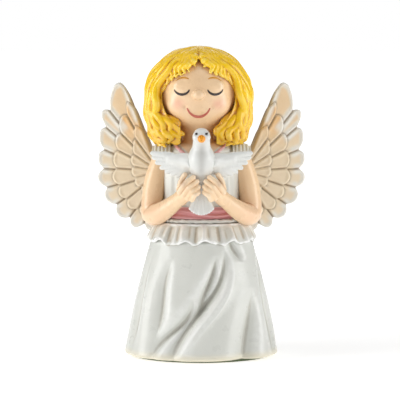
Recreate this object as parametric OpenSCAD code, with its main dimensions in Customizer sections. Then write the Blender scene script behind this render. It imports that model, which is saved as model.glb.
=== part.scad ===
// Cast resin angel figurine: a child angel in a long gathered dress, holding a dove.
// The origin is the middle of the felt face that it stands on, and +Z is up. The angel faces -Y.
// Left and right are the angel's own, so left is +X. Turn angles start at the front and grow
// towards the angel's left.

/* [Skirt] */
// Width of the skirt at the hem
skirt_w = 74.6; // [62:0.2:90]
// Depth of the skirt at the hem, front to back
skirt_d = 62; // [51:0.5:75]
// Height of the skirt casting
skirt_h = 60; // [50:0.5:72]
// Width of the skirt at the waist
waist_w = 46.4; // [38:0.2:56]
// Depth of the skirt at the waist
waist_d = 37; // [30:0.5:45]
// How far the skirt's side swells out between hem and waist
skirt_swell = 0.8; // [0:0.1:2]
// Depth of the deepest fold in the drapery
fold_depth = 2.6; // [1:0.1:3.2]
// Width of a fold's valley, in degrees of turn
fold_spread = 6.5; // [4:0.5:9]
// Rounding of the hem's lower edge
hem_round = 1.6; // [0.8:0.1:2.5]

/* [Base] */
// Thickness of the felt pad
felt_t = 1; // [0.6:0.1:2]
// How far the felt pad stops short of the skirt's underside
felt_inset = 0.6; // [0.2:0.1:2]

/* [Waist] */
// Height of the frilled peplum
peplum_h = 9.6; // [8:0.1:12]
// How far the peplum's hem stands out from the skirt
peplum_flare = 2.7; // [2:0.1:3.6]
// Depth of the frill's waves at its hem
frill_depth = 1.5; // [0.6:0.1:2]
// Number of waves round the frill
frill_count = 17; // [12:1:22]
// Thickness of the rolled edge above the peplum
piping_d = 1.6; // [1.2:0.1:2.2]
// Height of the sash
sash_h = 6; // [4.6:0.1:7.4]
// How far the sash stands out from the bodice
sash_t = 1.9; // [1.2:0.1:2.4]

/* [Torso] */
// Width of the bodice across the chest
bodice_w = 37.6; // [31:0.2:45]
// Depth of the bodice, front to back
bodice_d = 26; // [22:0.5:31]
// Height of the bodice from the waist to the shoulders
bodice_h = 42; // [36:0.5:50]
// Diameter of the neck
neck_d = 14.8; // [12:0.2:17]
// Diameter of the piping along the neckline
trim_d = 1.8; // [1.2:0.1:2.6]
// How far the neckline drops from the shoulders to the front
neckline_drop = 5.5; // [4:0.5:7]
// Thickness of a pleated shoulder ruffle
ruffle_t = 1.5; // [1:0.1:2]
// Number of pleats in each shoulder ruffle
pleat_count = 7; // [5:1:9]

/* [Head] */
// Diameter of the head
head_d = 36.4; // [31:0.2:42]
// Height of the head's middle above the shoulders
head_rise = 23.5; // [21:0.5:27]
// How far the head sits to the angel's right of the middle
head_shift = 1.4; // [0:0.1:3]
// Thickness of the hair over the top of the head
hair_t = 5.4; // [4.2:0.1:7]
// Width across the hair
hair_w = 52.4; // [48:0.2:58]
// Depth of the hair, front to back
hair_d = 43; // [41:0.2:48]
// Width of the face between the locks of hair
face_w = 34.6; // [30:0.2:38]
// Diameter of the button nose
nose_d = 6.2; // [4:0.1:8]
// Width of a painted line on the face
line_w = 0.7; // [0.5:0.05:1.2]

/* [Arms] */
// Diameter of the upper arm
arm_d = 10.4; // [8:0.1:12]
// Diameter of the wrist
wrist_d = 6.8; // [5.5:0.1:8]
// Diameter of a finger
finger_d = 2.5; // [2:0.1:3]
// Distance between the outsides of the elbows
elbow_span = 58; // [50:0.5:66]
// How far the elbow lies below the shoulder's joint
elbow_drop = 27; // [22:0.5:32]

/* [Dove] */
// Distance between the dove's wing tips
dove_span = 48; // [40:0.5:56]
// Diameter of the dove's breast
dove_d = 14.4; // [12:0.2:16]
// Diameter of the dove's neck and head
dove_neck_d = 8.2; // [7:0.1:9.5]
// Thickness of the dove's wings and tail
dove_wing_t = 2; // [1.4:0.1:2.6]

/* [Wings] */
// Distance between the outer edges of the two wings
wing_span = 101; // [86:0.5:118]
// Height of a wing from its lowest feather to its tip
wing_h = 73; // [62:0.5:84]
// Thickness of the back layer of feathers
wing_t = 2.6; // [2:0.1:3.4]
// How far each layer of feathers stands above the one below
feather_step = 1; // [0.6:0.1:1.4]
// How far the wings are swept back, in degrees
wing_sweep = 14; // [8:1:20]

/* [Joinery] */
// Diameter of the steel pins in the wings and arms
pin_d = 3; // [2:0.1:3.6]
// Length of those pins
pin_l = 11; // [9:0.5:13]
// Diameter of the dowel between the head and the torso
dowel_d = 5; // [4:0.5:6]
// Length of the dowel
dowel_l = 22; // [18:0.5:26]
// Diameter of the spigot between the torso and the skirt
spigot_d = 16; // [12:0.5:20]
// Length of the spigot
spigot_l = 3; // [2:0.1:3.6]
// Clearance round a pin, dowel or spigot
pin_gap = 0.05; // [0.02:0.01:0.1]
// Glue line between two castings
glue_gap = 0.1; // [0.05:0.01:0.2]

/* [Hidden] */

dress_white = "#f1f0ea";
wing_beige = "#e3d6c2";
sash_pink = "#cf8a8d";
skin = "#f3d3b2";
hair_yellow = "#f2bf1d";
beak_orange = "#f0a024";
line_brown = "#4a2f1e";
felt_green = "#5c6b4a";
steel_grey = "#a9adb1";

// Heights of the main levels.
hem_z = felt_t;
waist_z = hem_z + skirt_h;
sash_z = waist_z + 4.6;
shoulder_z = waist_z + bodice_h;
head_z = shoulder_z + head_rise;
head_r = head_d / 2;
// The face's features are set out for a head of this diameter.
face_scale = head_d / 36.4;
hair_z = head_z + head_r + hair_t - hair_w / 2;
head_x = -head_shift;
head_y = -1;

// Round shapes take this many steps in a turn.
skirt_sides = 72;
body_sides = 48;
over = 0.02;

// ---- Small helpers ----

function mix(a, b, t) = a + (b - a) * t;
function clamp(x) = min(1, max(0, x));
function total(v) = [for (x = v) 1] * v;
function unit(v) = v / norm(v);
function turned(a) = [sin(a), -cos(a), 0];
function angle_between(a, b) = let (d = (a - b) % 360) d > 180 ? d - 360 : d < -180 ? d + 360 : d;

// One point of a smooth curve through p, at share t of the span from p[i].
function on_curve(p, i, t) =
    let (a = p[max(i - 1, 0)], b = p[i], c = p[i + 1], d = p[min(i + 2, len(p) - 1)])
    0.5 * (2 * b + (c - a) * t + (2 * a - 5 * b + 4 * c - d) * t * t
        + (3 * b - a - 3 * c + d) * t * t * t);
function curve(p, steps) =
    [for (i = [0 : len(p) - 2]) for (s = [0 : steps - 1]) on_curve(p, i, s / steps), p[len(p) - 1]];

// A closed solid through rings of points, each ring turning the same way, with fanned ends.
module loft(rings) {
    n = len(rings[0]);
    m = len(rings);
    points = [each [for (r = rings) each r], total(rings[0]) / n, total(rings[m - 1]) / n];
    sides = [for (i = [0 : m - 2]) for (j = [0 : n - 1]) let (a = i * n + j, b = i * n + (j + 1) % n)
        each [[a, a + n, b + n], [a, b + n, b]]];
    start = [for (j = [0 : n - 1]) [m * n, j, (j + 1) % n]];
    end = [for (j = [0 : n - 1]) [m * n + 1, (m - 1) * n + (j + 1) % n, (m - 1) * n + j]];
    polyhedron(points, [each sides, each start, each end]);
}

// A closed band through rings of points, where the last ring meets the first.
module band(rings) {
    n = len(rings[0]);
    m = len(rings);
    faces = [for (i = [0 : m - 1]) for (j = [0 : n - 1])
        let (a = i * n + j, b = i * n + (j + 1) % n, c = ((i + 1) % m) * n + (j + 1) % n,
            d = ((i + 1) % m) * n + j)
        each [[a, d, c], [a, c, b]]];
    polyhedron([for (r = rings) each r], faces);
}

// A round-ended limb along p, a list of [x, y, z, radius]. Its section is turned to face ref, and
// is flat times as thick along ref as it is wide.
function place(p) = [p.x, p.y, p.z];
function limb_ring(c, dir, r, ref, sides, flat) =
    let (n1 = unit(ref - (ref * dir) * dir), n2 = cross(dir, n1))
    [for (j = [0 : sides - 1]) let (a = 360 * j / sides) c + r * (flat * cos(a) * n1 + sin(a) * n2)];
module limb(p, ref, sides = 10, flat = 1) {
    m = len(p);
    dirs = [for (i = [0 : m - 1]) unit(place(p[min(i + 1, m - 1)]) - place(p[max(i - 1, 0)]))];
    body = [for (i = [0 : m - 1]) limb_ring(place(p[i]), dirs[i], p[i][3], ref, sides, flat)];
    start = [for (a = [72, 36]) limb_ring(place(p[0]) - dirs[0] * p[0][3] * sin(a) * flat, dirs[0],
        p[0][3] * cos(a), ref, sides, flat)];
    end = [for (a = [36, 72]) limb_ring(place(p[m - 1]) + dirs[m - 1] * p[m - 1][3] * sin(a) * flat,
        dirs[m - 1], p[m - 1][3] * cos(a), ref, sides, flat)];
    loft([each start, each body, each end]);
}

// A blended, sculpted shape: its parts become one mesh.
module sculpted() resize([0, 0, 0]) children();

module pin(d, l, gap = 0) translate([0, 0, -gap]) cylinder(d = d + 2 * gap, h = l + 2 * gap, $fn = 48);

// ---- Skirt and base ----

// Folds: turn angle at the top and at the bottom, share of the height at the top and at the
// bottom, and share of the fold's full depth.
folds = [
    [-33, -47, 0.80, 0.08, 0.6], [-6, -40, 0.50, -0.10, 0.6], [14, -4, 0.80, 0.30, 0.6],
    [26, -20, 0.82, -0.12, 1], [36, 48, 0.97, 0.72, 0.5], [54, 30, 0.52, -0.25, 0.9],
    [84, 62, 0.85, -0.15, 0.6], [112, 88, 0.60, -0.20, 0.8], [130, 112, 0.90, 0.25, 0.6],
    [158, 128, 0.72, -0.20, 0.9], [182, 160, 0.90, 0.10, 0.6], [212, 184, 0.62, -0.20, 0.9],
    [232, 212, 0.88, 0.20, 0.6], [262, 236, 0.70, -0.20, 0.8], [292, 276, 0.86, -0.10, 0.6]];

function skirt_half(t) = [mix(skirt_w, waist_w, t) / 2 + skirt_swell * sin(180 * t),
    mix(skirt_d, waist_d, t) / 2 + skirt_swell * sin(180 * t)];
function fold_at(a, t) = fold_depth * min(1, total([for (f = folds)
    let (u = (t - f[3]) / (f[2] - f[3]))
    u <= 0 || u >= 1 ? 0 : f[4] * pow(sin(180 * u), 0.7)
        * exp(-pow(angle_between(a, mix(f[1], f[0], u)) / fold_spread, 2))]));
function skirt_ring(t, inset = 0) = let (h = skirt_half(t))
    [for (j = [0 : skirt_sides - 1]) let (a = 360 * j / skirt_sides, in = inset + fold_at(a, t))
        [(h.x - in) * sin(a), -(h.y - in) * cos(a), hem_z + t * skirt_h]];
function oval(half, z, sides) =
    [for (j = [0 : sides - 1]) let (a = 360 * j / sides) [half.x * sin(a), -half.y * cos(a), z]];

module skirt() color(dress_white) difference() {
    steps = 12;
    loft([
        for (b = [0, 45]) skirt_ring(hem_round * (1 - cos(b)) / skirt_h, hem_round * (1 - sin(b))),
        for (i = [0 : steps]) skirt_ring(mix(hem_round / skirt_h, 1, i / steps))
    ]);
    translate([0, 0, waist_z - spigot_l - glue_gap])
        pin(spigot_d, spigot_l + 2 * glue_gap, pin_gap);
}

module felt_pad() color(felt_green) linear_extrude(felt_t) polygon([for (p = oval([skirt_w, skirt_d] / 2
    - [1, 1] * (fold_depth + hem_round + felt_inset), 0, body_sides)) [p.x, p.y]]);

// ---- Waist ----

peplum_top = waist_z + 4;
peplum_low = peplum_top - peplum_h;
// The waist's own oval: the skirt below its top, and the bodice above it.
function waist_half(z) = z <= waist_z ? skirt_half((z - hem_z) / skirt_h) : bodice_half(z);
function frill(a) = sin(frill_count * a + 25 * sin(3 * a)) + 0.4 * sin((frill_count * 2 - 5) * a);
function frill_ring(z, out, wave, lift) =
    [for (j = [0 : skirt_sides - 1])
        let (a = 360 * j / skirt_sides, h = waist_half(z), r = out + wave * frill(a))
        [(h.x + r) * sin(a), -(h.y + r) * cos(a), z + lift * frill(a + 8)]];

// The peplum lies on the skirt's shoulder and hangs a little clear of its side.
module peplum() color(dress_white) {
    edge_t = 1.3;
    seat_z = waist_z + glue_gap;
    band([
        oval(bodice_half(peplum_top) + [1, 1] * glue_gap, peplum_top, skirt_sides),
        oval(bodice_half(waist_z) + [1, 1] * glue_gap, seat_z, skirt_sides),
        oval(skirt_half(1) + [1, 1] * glue_gap, seat_z, skirt_sides),
        frill_ring(peplum_low + 3, glue_gap, 0, 0),
        frill_ring(peplum_low, peplum_flare - edge_t, frill_depth / 2, 0.5),
        frill_ring(peplum_low + 0.2, peplum_flare, frill_depth / 2, 0.5),
        frill_ring(peplum_low + 3, peplum_flare, frill_depth / 2.5, 0.2),
        frill_ring(waist_z, peplum_flare - 0.9, frill_depth / 4, 0),
        oval(bodice_half(peplum_top) + [1, 1] * 2.8, peplum_top, skirt_sides)
    ]);
}

function tube_band(centre, r, m) = [for (i = [0 : m - 1]) let (b = -90 + 360 * i / m)
    [for (c = centre) place(c) + r * (cos(b) * [c[3], c[4], 0] + [0, 0, sin(b)])]];
// A centre line is a list of [x, y, z, outward x, outward y].
function oval_line(half, z, sides) = [for (j = [0 : sides - 1]) let (a = 360 * j / sides)
    [half.x * sin(a), -half.y * cos(a), z, sin(a), -cos(a)]];

module waist_piping() color(dress_white)
    band(tube_band(oval_line(waist_half(peplum_top + piping_d / 2) + [1, 1] * (piping_d / 2 + glue_gap
        + 0.4), peplum_top + piping_d / 2 + glue_gap, body_sides), piping_d / 2, 8));

sash_low = peplum_top + piping_d + 2 * glue_gap;
function sash_ring(share, out) = let (z = sash_low + sash_h * share)
    oval(waist_half(z) + [1, 1] * out, z, body_sides);
module sash() color(sash_pink)
    band([sash_ring(0, glue_gap), sash_ring(0, sash_t * 0.7), sash_ring(0.22, sash_t),
        sash_ring(0.4, sash_t * 0.72), sash_ring(0.62, sash_t), sash_ring(0.8, sash_t * 0.7),
        sash_ring(0.94, sash_t * 0.9), sash_ring(1, sash_t * 0.4), sash_ring(1, glue_gap)]);

// ---- Torso ----

// The bodice's outline: share of its height, share of its width.
bodice_shape = [[0, 0.94], [0.3, 0.95], [0.6, 1], [0.8, 1], [0.9, 0.94], [0.96, 0.82], [1, 0.62]];
function bodice_half(z) =
    lookup((z - waist_z) / bodice_h, bodice_shape) * [bodice_w, bodice_d] / 2;

shoulder_x = bodice_w / 2 + 0.8;
arm_z = shoulder_z - 7.4;
wing_seat_y = bodice_d / 2 - 3.4;
wing_pin_x = bodice_w / 4;
wing_pin_z = [shoulder_z - 19, shoulder_z - 9];
neck_floor = shoulder_z - 8;

module bodice_blank(grow = 0)
    loft([for (s = bodice_shape) let (z = waist_z + glue_gap + s[0] * (bodice_h - glue_gap))
        oval(bodice_half(z) + [1, 1] * grow, z + (s[0] == 1 ? grow : 0), body_sides)]);

module bodice() color(dress_white) difference() {
    union() {
        bodice_blank();
        translate([0, 0, waist_z - spigot_l]) pin(spigot_d, spigot_l + 2);
    }
    // Flat seats and pin holes for the wings, and the pin holes for the arms
    for (side = [-1, 1]) {
        wing_pad(side, glue_gap);
        for (z = wing_pin_z) wing_pin_place(side, z) pin(pin_d, pin_l, pin_gap);
        arm_pin_place(side) pin(pin_d, pin_l, pin_gap);
    }
    // Socket for the neck, and the dowel's hole below it
    translate([head_x, 0, neck_floor]) cylinder(d = neck_d + 2 * glue_gap, h = bodice_h, $fn = 64);
    translate([head_x, 0, neck_floor - dowel_l / 2]) pin(dowel_d, dowel_l, pin_gap);
}

module wing_pin_place(side, z)
    translate([side * wing_pin_x, wing_seat_y + pin_l / 2, z]) rotate([90, 0, 0]) children();
module arm_pin_place(side)
    translate([side * (shoulder_x - 1.6 - pin_l / 2), 0, arm_z]) rotate([0, side * 90, 0]) children();

// The rounded pad on a wing's root, which is let into the torso's back.
pad_r = 5.2;
pad_t = 7;
module wing_pad(side, grow = 0) translate([side * wing_pin_x, wing_seat_y + pad_t + glue_gap, 0])
    rotate([90, 0, 0]) {
        for (z = wing_pin_z) translate([0, z, 0]) cylinder(r = pad_r + grow, h = pad_t + grow, $fn = 32);
        translate([-pad_r - grow, wing_pin_z[0], 0])
            cube([2 * (pad_r + grow), wing_pin_z[1] - wing_pin_z[0], pad_t + grow]);
    }

module wing_pins() color(steel_grey) for (side = [-1, 1]) for (z = wing_pin_z)
    wing_pin_place(side, z) pin(pin_d, pin_l);
module arm_pins() color(steel_grey) for (side = [-1, 1]) arm_pin_place(side) pin(pin_d, pin_l);
module neck_dowel() color(steel_grey)
    translate([head_x, 0, neck_floor - dowel_l / 2]) pin(dowel_d, dowel_l);

// The neckline lies on the bodice, low at the front and level round the sides and back.
neckline = [for (j = [0 : body_sides - 1]) let (a = 360 * j / body_sides,
        z = shoulder_z - 0.3 - neckline_drop * pow(max(0, cos(a)), 3), h = bodice_half(z))
    [head_x * 0.5 + h.x * sin(a), -h.y * cos(a), z, sin(a), -cos(a)]];
module neckline_trim() color(sash_pink) sculpted() difference() {
    band(tube_band(neckline, trim_d / 2, 6));
    bodice_blank(glue_gap);
    neck(glue_gap);
}

// A pleated ruffle that arches over one shoulder, from the front down to the back.
ruffle_in = bodice_w * 0.31 + head_shift + trim_d / 2 + 0.8;
ruffle_out = shoulder_x + 4.4;
function ruffle_arc(i, grow) = let (r = arm_d / 2 + ruffle_t + 1 + (i % 2 == 0 ? 0.35 : -0.35) + grow)
    [for (a = [-81 : 27 : 81]) let (u = i / (2 * pleat_count), q = r - 1.6 * u * u)
        [mix(ruffle_in, ruffle_out, u), 1.1 * q * sin(a), arm_z + 0.3 - 1.2 * u * u + q * cos(a)]];
function reversed(v) = [for (i = [len(v) - 1 : -1 : 0]) v[i]];
module ruffle_shape(side, grow = 0) mirrored(side) loft([for (i = [0 : 2 * pleat_count])
    [each ruffle_arc(i, -ruffle_t - grow), each reversed(ruffle_arc(i, grow))]]);
module shoulder_ruffle(side) color(dress_white) sculpted() difference() {
    ruffle_shape(side);
    bodice_blank(glue_gap);
}

// ---- Arms ----

elbow_x = elbow_span / 2 - arm_d / 2;
elbow_z = arm_z - elbow_drop;
hand_z = elbow_z + 12;
hand_y = -bodice_d / 2 - 10;
dove_y = hand_y - 1.5;

arm_line = [
    [shoulder_x, 0, arm_z, arm_d / 2],
    [mix(shoulder_x, elbow_x, 0.6), -0.6, mix(arm_z, elbow_z, 0.4), arm_d / 2],
    [elbow_x, -1.6, mix(arm_z, elbow_z, 0.8), arm_d / 2], [elbow_x - 0.6, -4, elbow_z, arm_d / 2 + 0.1],
    [elbow_x * 0.76, -12, elbow_z + 2.4, mix(arm_d, wrist_d, 0.3) / 2],
    [wrist_d / 2 + 6.6, hand_y + 2.6, hand_z - 3, wrist_d / 2]];
palm_line = [[wrist_d / 2 + 5.9, hand_y + 2.1, hand_z - 2.5, wrist_d / 2 + 0.3],
    [wrist_d / 2 + 3.8, hand_y - 0.6, hand_z - 0.6, wrist_d / 2 + 0.7]];
// Fingers 1 to 4 fan out from the palm, and their tips meet the other hand's at the middle.
function finger_line(k) = let (r = finger_d / 2,
        root = [wrist_d / 2 + 4.4 - 0.3 * k, hand_y - 2.4, hand_z + 3.4 - 2.5 * k],
        tip = [r + 0.3 + (k == 0 ? 3.4 : k == 1 ? 1.3 : 0), hand_y - 4.2, hand_z + 6.2 - 2.5 * k],
        knuckle = (root + tip) / 2 + [0, -1.2, 0.6])
    [for (p = [root, knuckle, tip]) [p.x, p.y, p.z, r]];
thumb_line = [[wrist_d / 2 + 6.4, hand_y - 1, hand_z + 1, finger_d / 2 + 0.2],
    [wrist_d / 2 + 6, hand_y - 1.4, hand_z + 5, finger_d / 2],
    [wrist_d / 2 + 3.6, hand_y - 2, hand_z + 8, finger_d / 2 - 0.15]];

module hand_shape() {
    limb(palm_line, [0.3, 1, 0.4], 12, 0.85);
    for (k = [0 : 3]) limb(finger_line(k), [0, 1, 0.2], 8);
    limb(curve(thumb_line, 2), [0, 1, 0], 8);
}
module arm_blank() {
    limb(curve(arm_line, 2), [1, 0.1, 0], 12);
    hand_shape();
}
module mirrored(side) mirror([side < 0 ? 1 : 0, 0, 0]) children();

// Both arms are cast from one shape, which is that of the right arm.
module arm_right_shape() sculpted() difference() {
    mirrored(-1) arm_blank();
    bodice_blank(glue_gap);
    ruffle_shape(-1, glue_gap);
    waist_clearance();
}
module arm(side) color(skin) difference() {
    mirrored(-side) arm_right_shape();
    arm_pin_place(side) pin(pin_d, pin_l, pin_gap);
}
// The space that the sash, piping and peplum take round the waist.
module waist_clearance() loft([for (z = [peplum_low - 1, peplum_low, peplum_top, peplum_top + 8,
    peplum_top + 8.1]) oval(waist_half(min(z, peplum_top)) + [1, 1]
        * (z < peplum_low ? 0.1 : z <= peplum_top ? 3.4 : sash_t + 0.3), z, body_sides)]);

// ---- Head and face ----

head_place = [head_x, head_y, head_z];

module neck(grow = 0) {
    translate([head_x, 0, neck_floor - grow])
        cylinder(d = neck_d + 2 * grow, h = head_z - neck_floor, $fn = 48);
}
module head() color(skin) difference() {
    union() {
        translate(head_place) sphere(r = head_r, $fn = 96);
        translate(head_place + [0, -head_r + 0.6, 0]) sphere(d = nose_d, $fn = 48);
        neck();
    }
    translate([head_x, 0, neck_floor - dowel_l / 2]) pin(dowel_d, dowel_l, pin_gap);
}

// A painted line: points as [across, up] from the head's middle, laid on the head's surface.
function on_face(p, out) = let (r = head_r + out)
    head_place + [p.x, -sqrt(r * r - p.x * p.x - p.y * p.y), p.y];
module face_line(p, w) sculpted() difference() {
    limb([for (q = curve(p, 2)) let (s = on_face(q, w / 5)) [s.x, s.y, s.z, w / 2]], [0, 1, 0], 6);
    translate(head_place) sphere(r = head_r + over, $fn = 96);
}
eye_x = 7.7 * face_scale;
eye_z = 2.1 * face_scale;
module eyelid_lines() color(line_brown) for (side = [-1, 1])
    face_line([for (a = [-160, -125, -90, -55, -20])
        [side * eye_x + 3.7 * face_scale * cos(a),
            eye_z + 3.2 * face_scale * (sin(a) + 0.4)]], line_w);
module brow_lines() color(beak_orange) for (side = [-1, 1])
    face_line([for (u = [-1, 0, 1]) face_scale * [side * (7.7 + 3 * u), 8 - 1.1 * u * u - 0.4 * u]],
        line_w * 0.9);
module smile_line() color("#b4483a")
    face_line([for (a = [-155, -122, -90, -58, -25])
        face_scale * [6.1 * cos(a), -6.4 + 6.9 * (sin(a) + 0.42)]], line_w);

// ---- Hair ----

crown_low = head_z + 1;
// The face shows through a round opening in the hair, which has its middle a little low.
opening_z = head_z - 0.5;
hair_half = [hair_w / 2, hair_d / 2, hair_w / 2];
hair_place = [head_x, 0.6, hair_z];

module hair_ball(grow = 0) translate(hair_place) scale(hair_half + [1, 1, 1] * grow)
    sphere(r = 1, $fn = 36);
module hair_clearance() {
    translate(head_place) sphere(r = head_r + glue_gap, $fn = 48);
    neck(glue_gap);
}
module crown_shape(grow = 0) difference() {
    hair_ball(grow);
    translate([head_x - hair_w, -hair_w, crown_low - grow - 2 * hair_w])
        cube([2 * hair_w, 2 * hair_w, 2 * hair_w]);
    translate([head_x, 0, opening_z]) rotate([90, 0, 0])
        cylinder(d = face_w - 2 * grow, h = hair_w, $fn = 48);
}
module hair_crown() color(hair_yellow) sculpted() difference() {
    crown_shape();
    hair_clearance();
}

// One hanging lock of hair at turn angle a. The locks wave from side to side as they fall.
function lock_line(a, drop, r) = [for (i = [0 : 6]) let (u = i / 6, in = r + 0.6 + 2.2 * pow(u, 3),
        b = a + 3 * sin(420 * u + 3 * a))
    [head_x + (hair_half.x - in) * sin(b), hair_place.y - (hair_half.y - in) * cos(b),
        mix(crown_low - 0.1 * r, shoulder_z + drop, u), r * (1 - 0.4 * pow(u, 3))]];
module lock_group(angles, drop, r, grow = 0) union() for (a = angles)
    limb([for (p = lock_line(a, drop, r)) p + [0, 0, 0, grow]], turned(a), 8);
module trim_hair() difference() {
    children();
    hair_clearance();
    crown_shape(glue_gap);
    bodice_blank(glue_gap);
    for (side = [-1, 1]) ruffle_shape(side, glue_gap);
}
// The side locks start beside the face, and the back locks fill what they leave.
side_r = 4.6;
function side_turns(side) = [for (a = [62, 82, 102]) side * a];
module hair_side(side) color(hair_yellow) sculpted() trim_hair()
    lock_group(side_turns(side), 1.8, side_r);
module hair_back() color(hair_yellow) sculpted() difference() {
    trim_hair() lock_group([122 : 16.5 : 239], 2.6, 4.2);
    for (side = [-1, 1]) lock_group(side_turns(side), 1.8, side_r, glue_gap);
}

// Fringe locks sweep from the parting over the forehead to the temple.
fringe_tips = [[5, 12.8], [9, 11], [12.4, 8.4], [14.6, 4.4]];
fringe_root = [0.8, 16.8];
function on_hair(p, out) = let (r = head_r + out, y = sqrt(max(1, r * r - p.x * p.x - p.y * p.y)))
    head_place + [p.x, -y, p.y];
function fringe_line(side, tip, k) = let (r = 2.1, root = fringe_root + [1.1, -0.3] * k)
    [for (i = [0 : 4]) let (u = i / 4,
            q = face_scale * (mix(root, tip, u) + [0.4 * sin(400 * u), 1.6 * sin(180 * u)]),
            s = on_hair([side * q.x, q.y], 1.6))
        [s.x, s.y, s.z, r * (1 - 0.4 * u * u)]];
module fringe(side) color(hair_yellow) sculpted() difference() {
    union() for (k = [0 : len(fringe_tips) - 1])
        limb(fringe_line(side, fringe_tips[k], k), [0, -1, 0.3], 8);
    hair_clearance();
    crown_shape(glue_gap);
    translate([head_x + (side > 0 ? -20 + glue_gap / 2 : -glue_gap / 2), -hair_w, head_z])
        cube([20, 2 * hair_w, hair_w]);
    lock_group([side_turns(side)[0]], 1.8, side_r, glue_gap);
}

// ---- Dove ----

dove_low = hand_z + 6;
dove_line = [[0, dove_y + 2.6, dove_low, dove_d * 0.3], [0, dove_y + 0.6, dove_low + 5, dove_d * 0.48],
    [0, dove_y - 0.6, dove_low + 9.4, dove_d * 0.46],
    [0, dove_y - 1.8, dove_low + 14.6, dove_neck_d * 0.54],
    [0, dove_y - 3, dove_low + 18.4, dove_neck_d * 0.49],
    [0, dove_y - 3.6, dove_low + 20.8, dove_neck_d / 2]];
dove_head = place(dove_line[5]);

module dove_blank(grow = 0) limb([for (p = curve(dove_line, 2)) p + [0, 0, 0, grow]], [1, 0, 0], 14);
module dove_body() color(dress_white) sculpted() difference() {
    dove_blank();
    for (side = [-1, 1]) mirrored(side) hand_shape();
    beak_shape();
}
module beak_shape(grow = 0) translate(dove_head + [0, -dove_neck_d / 2 + 0.9 + grow, -0.8])
    rotate([98, 0, 0]) cylinder(r1 = 1.75, r2 = 0.9, h = 2.6, $fn = 32);
module dove_beak() color(beak_orange) beak_shape();
module dove_eyes() color("#222222") for (side = [-1, 1]) difference() {
    translate(dove_head + [side * 2.3, -dove_neck_d * 0.37, 1.4]) sphere(d = 1.3, $fn = 24);
    translate(dove_head) sphere(d = dove_neck_d + 0.02, $fn = 64);
}

// A feather outline along +X, from the origin to its tip, as a list of points.
function feather(length, root_r, tip_r) = [
    for (a = [-90 : 22.5 : 90]) [length - tip_r + tip_r * cos(a), tip_r * sin(a)],
    for (a = [90 : 45 : 270]) root_r * [cos(a), sin(a)]];

// Dove feathers: turn in degrees and share of the full length, from the tip of the wing inwards.
dove_feathers = [[4, 1], [-10, 0.93], [-24, 0.84], [-38, 0.72], [-54, 0.62], [-72, 0.56]];
dove_wing_root = [dove_d / 2 - 3, dove_y + 1.2, dove_low + 9.6];
module dove_wing(side) color(dress_white) sculpted() difference() {
    mirrored(side) translate(dove_wing_root) rotate([90, 0, 14]) union() {
        length = (dove_span / 2 - dove_wing_root.x) / cos(14);
        for (i = [0 : len(dove_feathers) - 1]) let (f = dove_feathers[i]) rotate([0, 0, f[0]])
            linear_extrude(dove_wing_t + 0.18 * i, center = true) polygon(feather(length * f[1], 2.2, 1.7));
        rotate([0, 0, 14]) linear_extrude(dove_wing_t + 1.2, center = true)
            polygon(feather(length * 0.42, 2.6, 2));
    }
    dove_blank(glue_gap);
    for (s = [-1, 1]) mirrored(s) hand_shape();
}

tail_place = [0, dove_y + 3.4, dove_low + 1];
tail_l = 18.4;
module dove_tail() color(dress_white) sculpted() difference() {
    translate(tail_place) rotate([99, 0, 0]) for (i = [-3 : 3]) rotate([0, 0, -90 + i * 8.5])
        linear_extrude(dove_wing_t - 0.3 + 0.25 * abs(i % 2), center = true)
            polygon(feather(tail_l, 1.6, 1.7));
    for (s = [-1, 1]) mirrored(s) arm_blank();
    dove_blank(glue_gap);
    sash_clearance();
}
module sash_clearance() loft([for (z = [waist_z, shoulder_z - 4]) oval(bodice_half(sash_z + 4)
    + [1, 1] * (sash_t + 0.3), z, body_sides)]);

// ---- Wings ----

// Feathers fan out from a wing's root. A row is [turn at the top, turn at the foot, number of
// feathers]. Lengths follow the wing's outline: long at the top, even round the side and foot.
root_x = wing_span / 5.3;
root_z = shoulder_z - 14.5;
reach = (wing_span / 2 - root_x) / cos(wing_sweep);
outer_row = [62, -74, 9];
middle_row = [62, -68, 8];
inner_row = [60, -62, 6];
function row_length(a, l) = l * (1 + (wing_h / reach - 1.72) * pow(clamp(a / 62), 1.6));

// One row of feathers in outline. Their round tips almost touch, with a narrow slot between.
module feather_row(row, side_l, low, high) {
    step = (row[0] - row[1]) / (row[2] - 1);
    k = 0.96 * sin(step / 2);
    tips = [for (i = [0 : row[2] - 1])
        let (a = row[0] - i * step, l = row_length(a, side_l), r = l * k / (1 + k), c = l - r)
        each [if (i > 0) 0.6 * l * [cos(a + step / 2), sin(a + step / 2)],
            for (b = [88 : -22 : -88]) c * [cos(a), sin(a)] + r * [cos(a + b), sin(a + b)]]];
    foot = row[1] - 90;
    translate([0, 0, low]) linear_extrude(high - low)
        polygon([3 * [cos(row[0] + 90), sin(row[0] + 90)], each tips, 3 * [cos(foot), sin(foot)], [-3, 0]]);
}

wing_web = [[wing_pin_x, wing_pin_z[0] - pad_r + 1], [root_x + 4, root_z - 5],
    [root_x + 4, root_z + 9], [wing_pin_x, wing_pin_z[1] + pad_r - 1]];
module wing(side) color(wing_beige) difference() {
    mirrored(side) {
        translate([root_x, wing_seat_y + 3.8, root_z]) rotate([90, 0, wing_sweep]) {
            feather_row(outer_row, reach, -wing_t, 0);
            feather_row(middle_row, reach * 0.78, -wing_t - feather_step / 2, feather_step);
            feather_row(inner_row, reach * 0.46, -wing_t - feather_step, 2 * feather_step);
        }
        wing_pad(1);
        translate([0, wing_seat_y + glue_gap + pad_t - 0.5, 0]) rotate([90, 0, 0])
            linear_extrude(pad_t - 1) polygon(wing_web);
    }
    for (z = wing_pin_z) wing_pin_place(side, z) pin(pin_d, pin_l, pin_gap);
}

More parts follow.
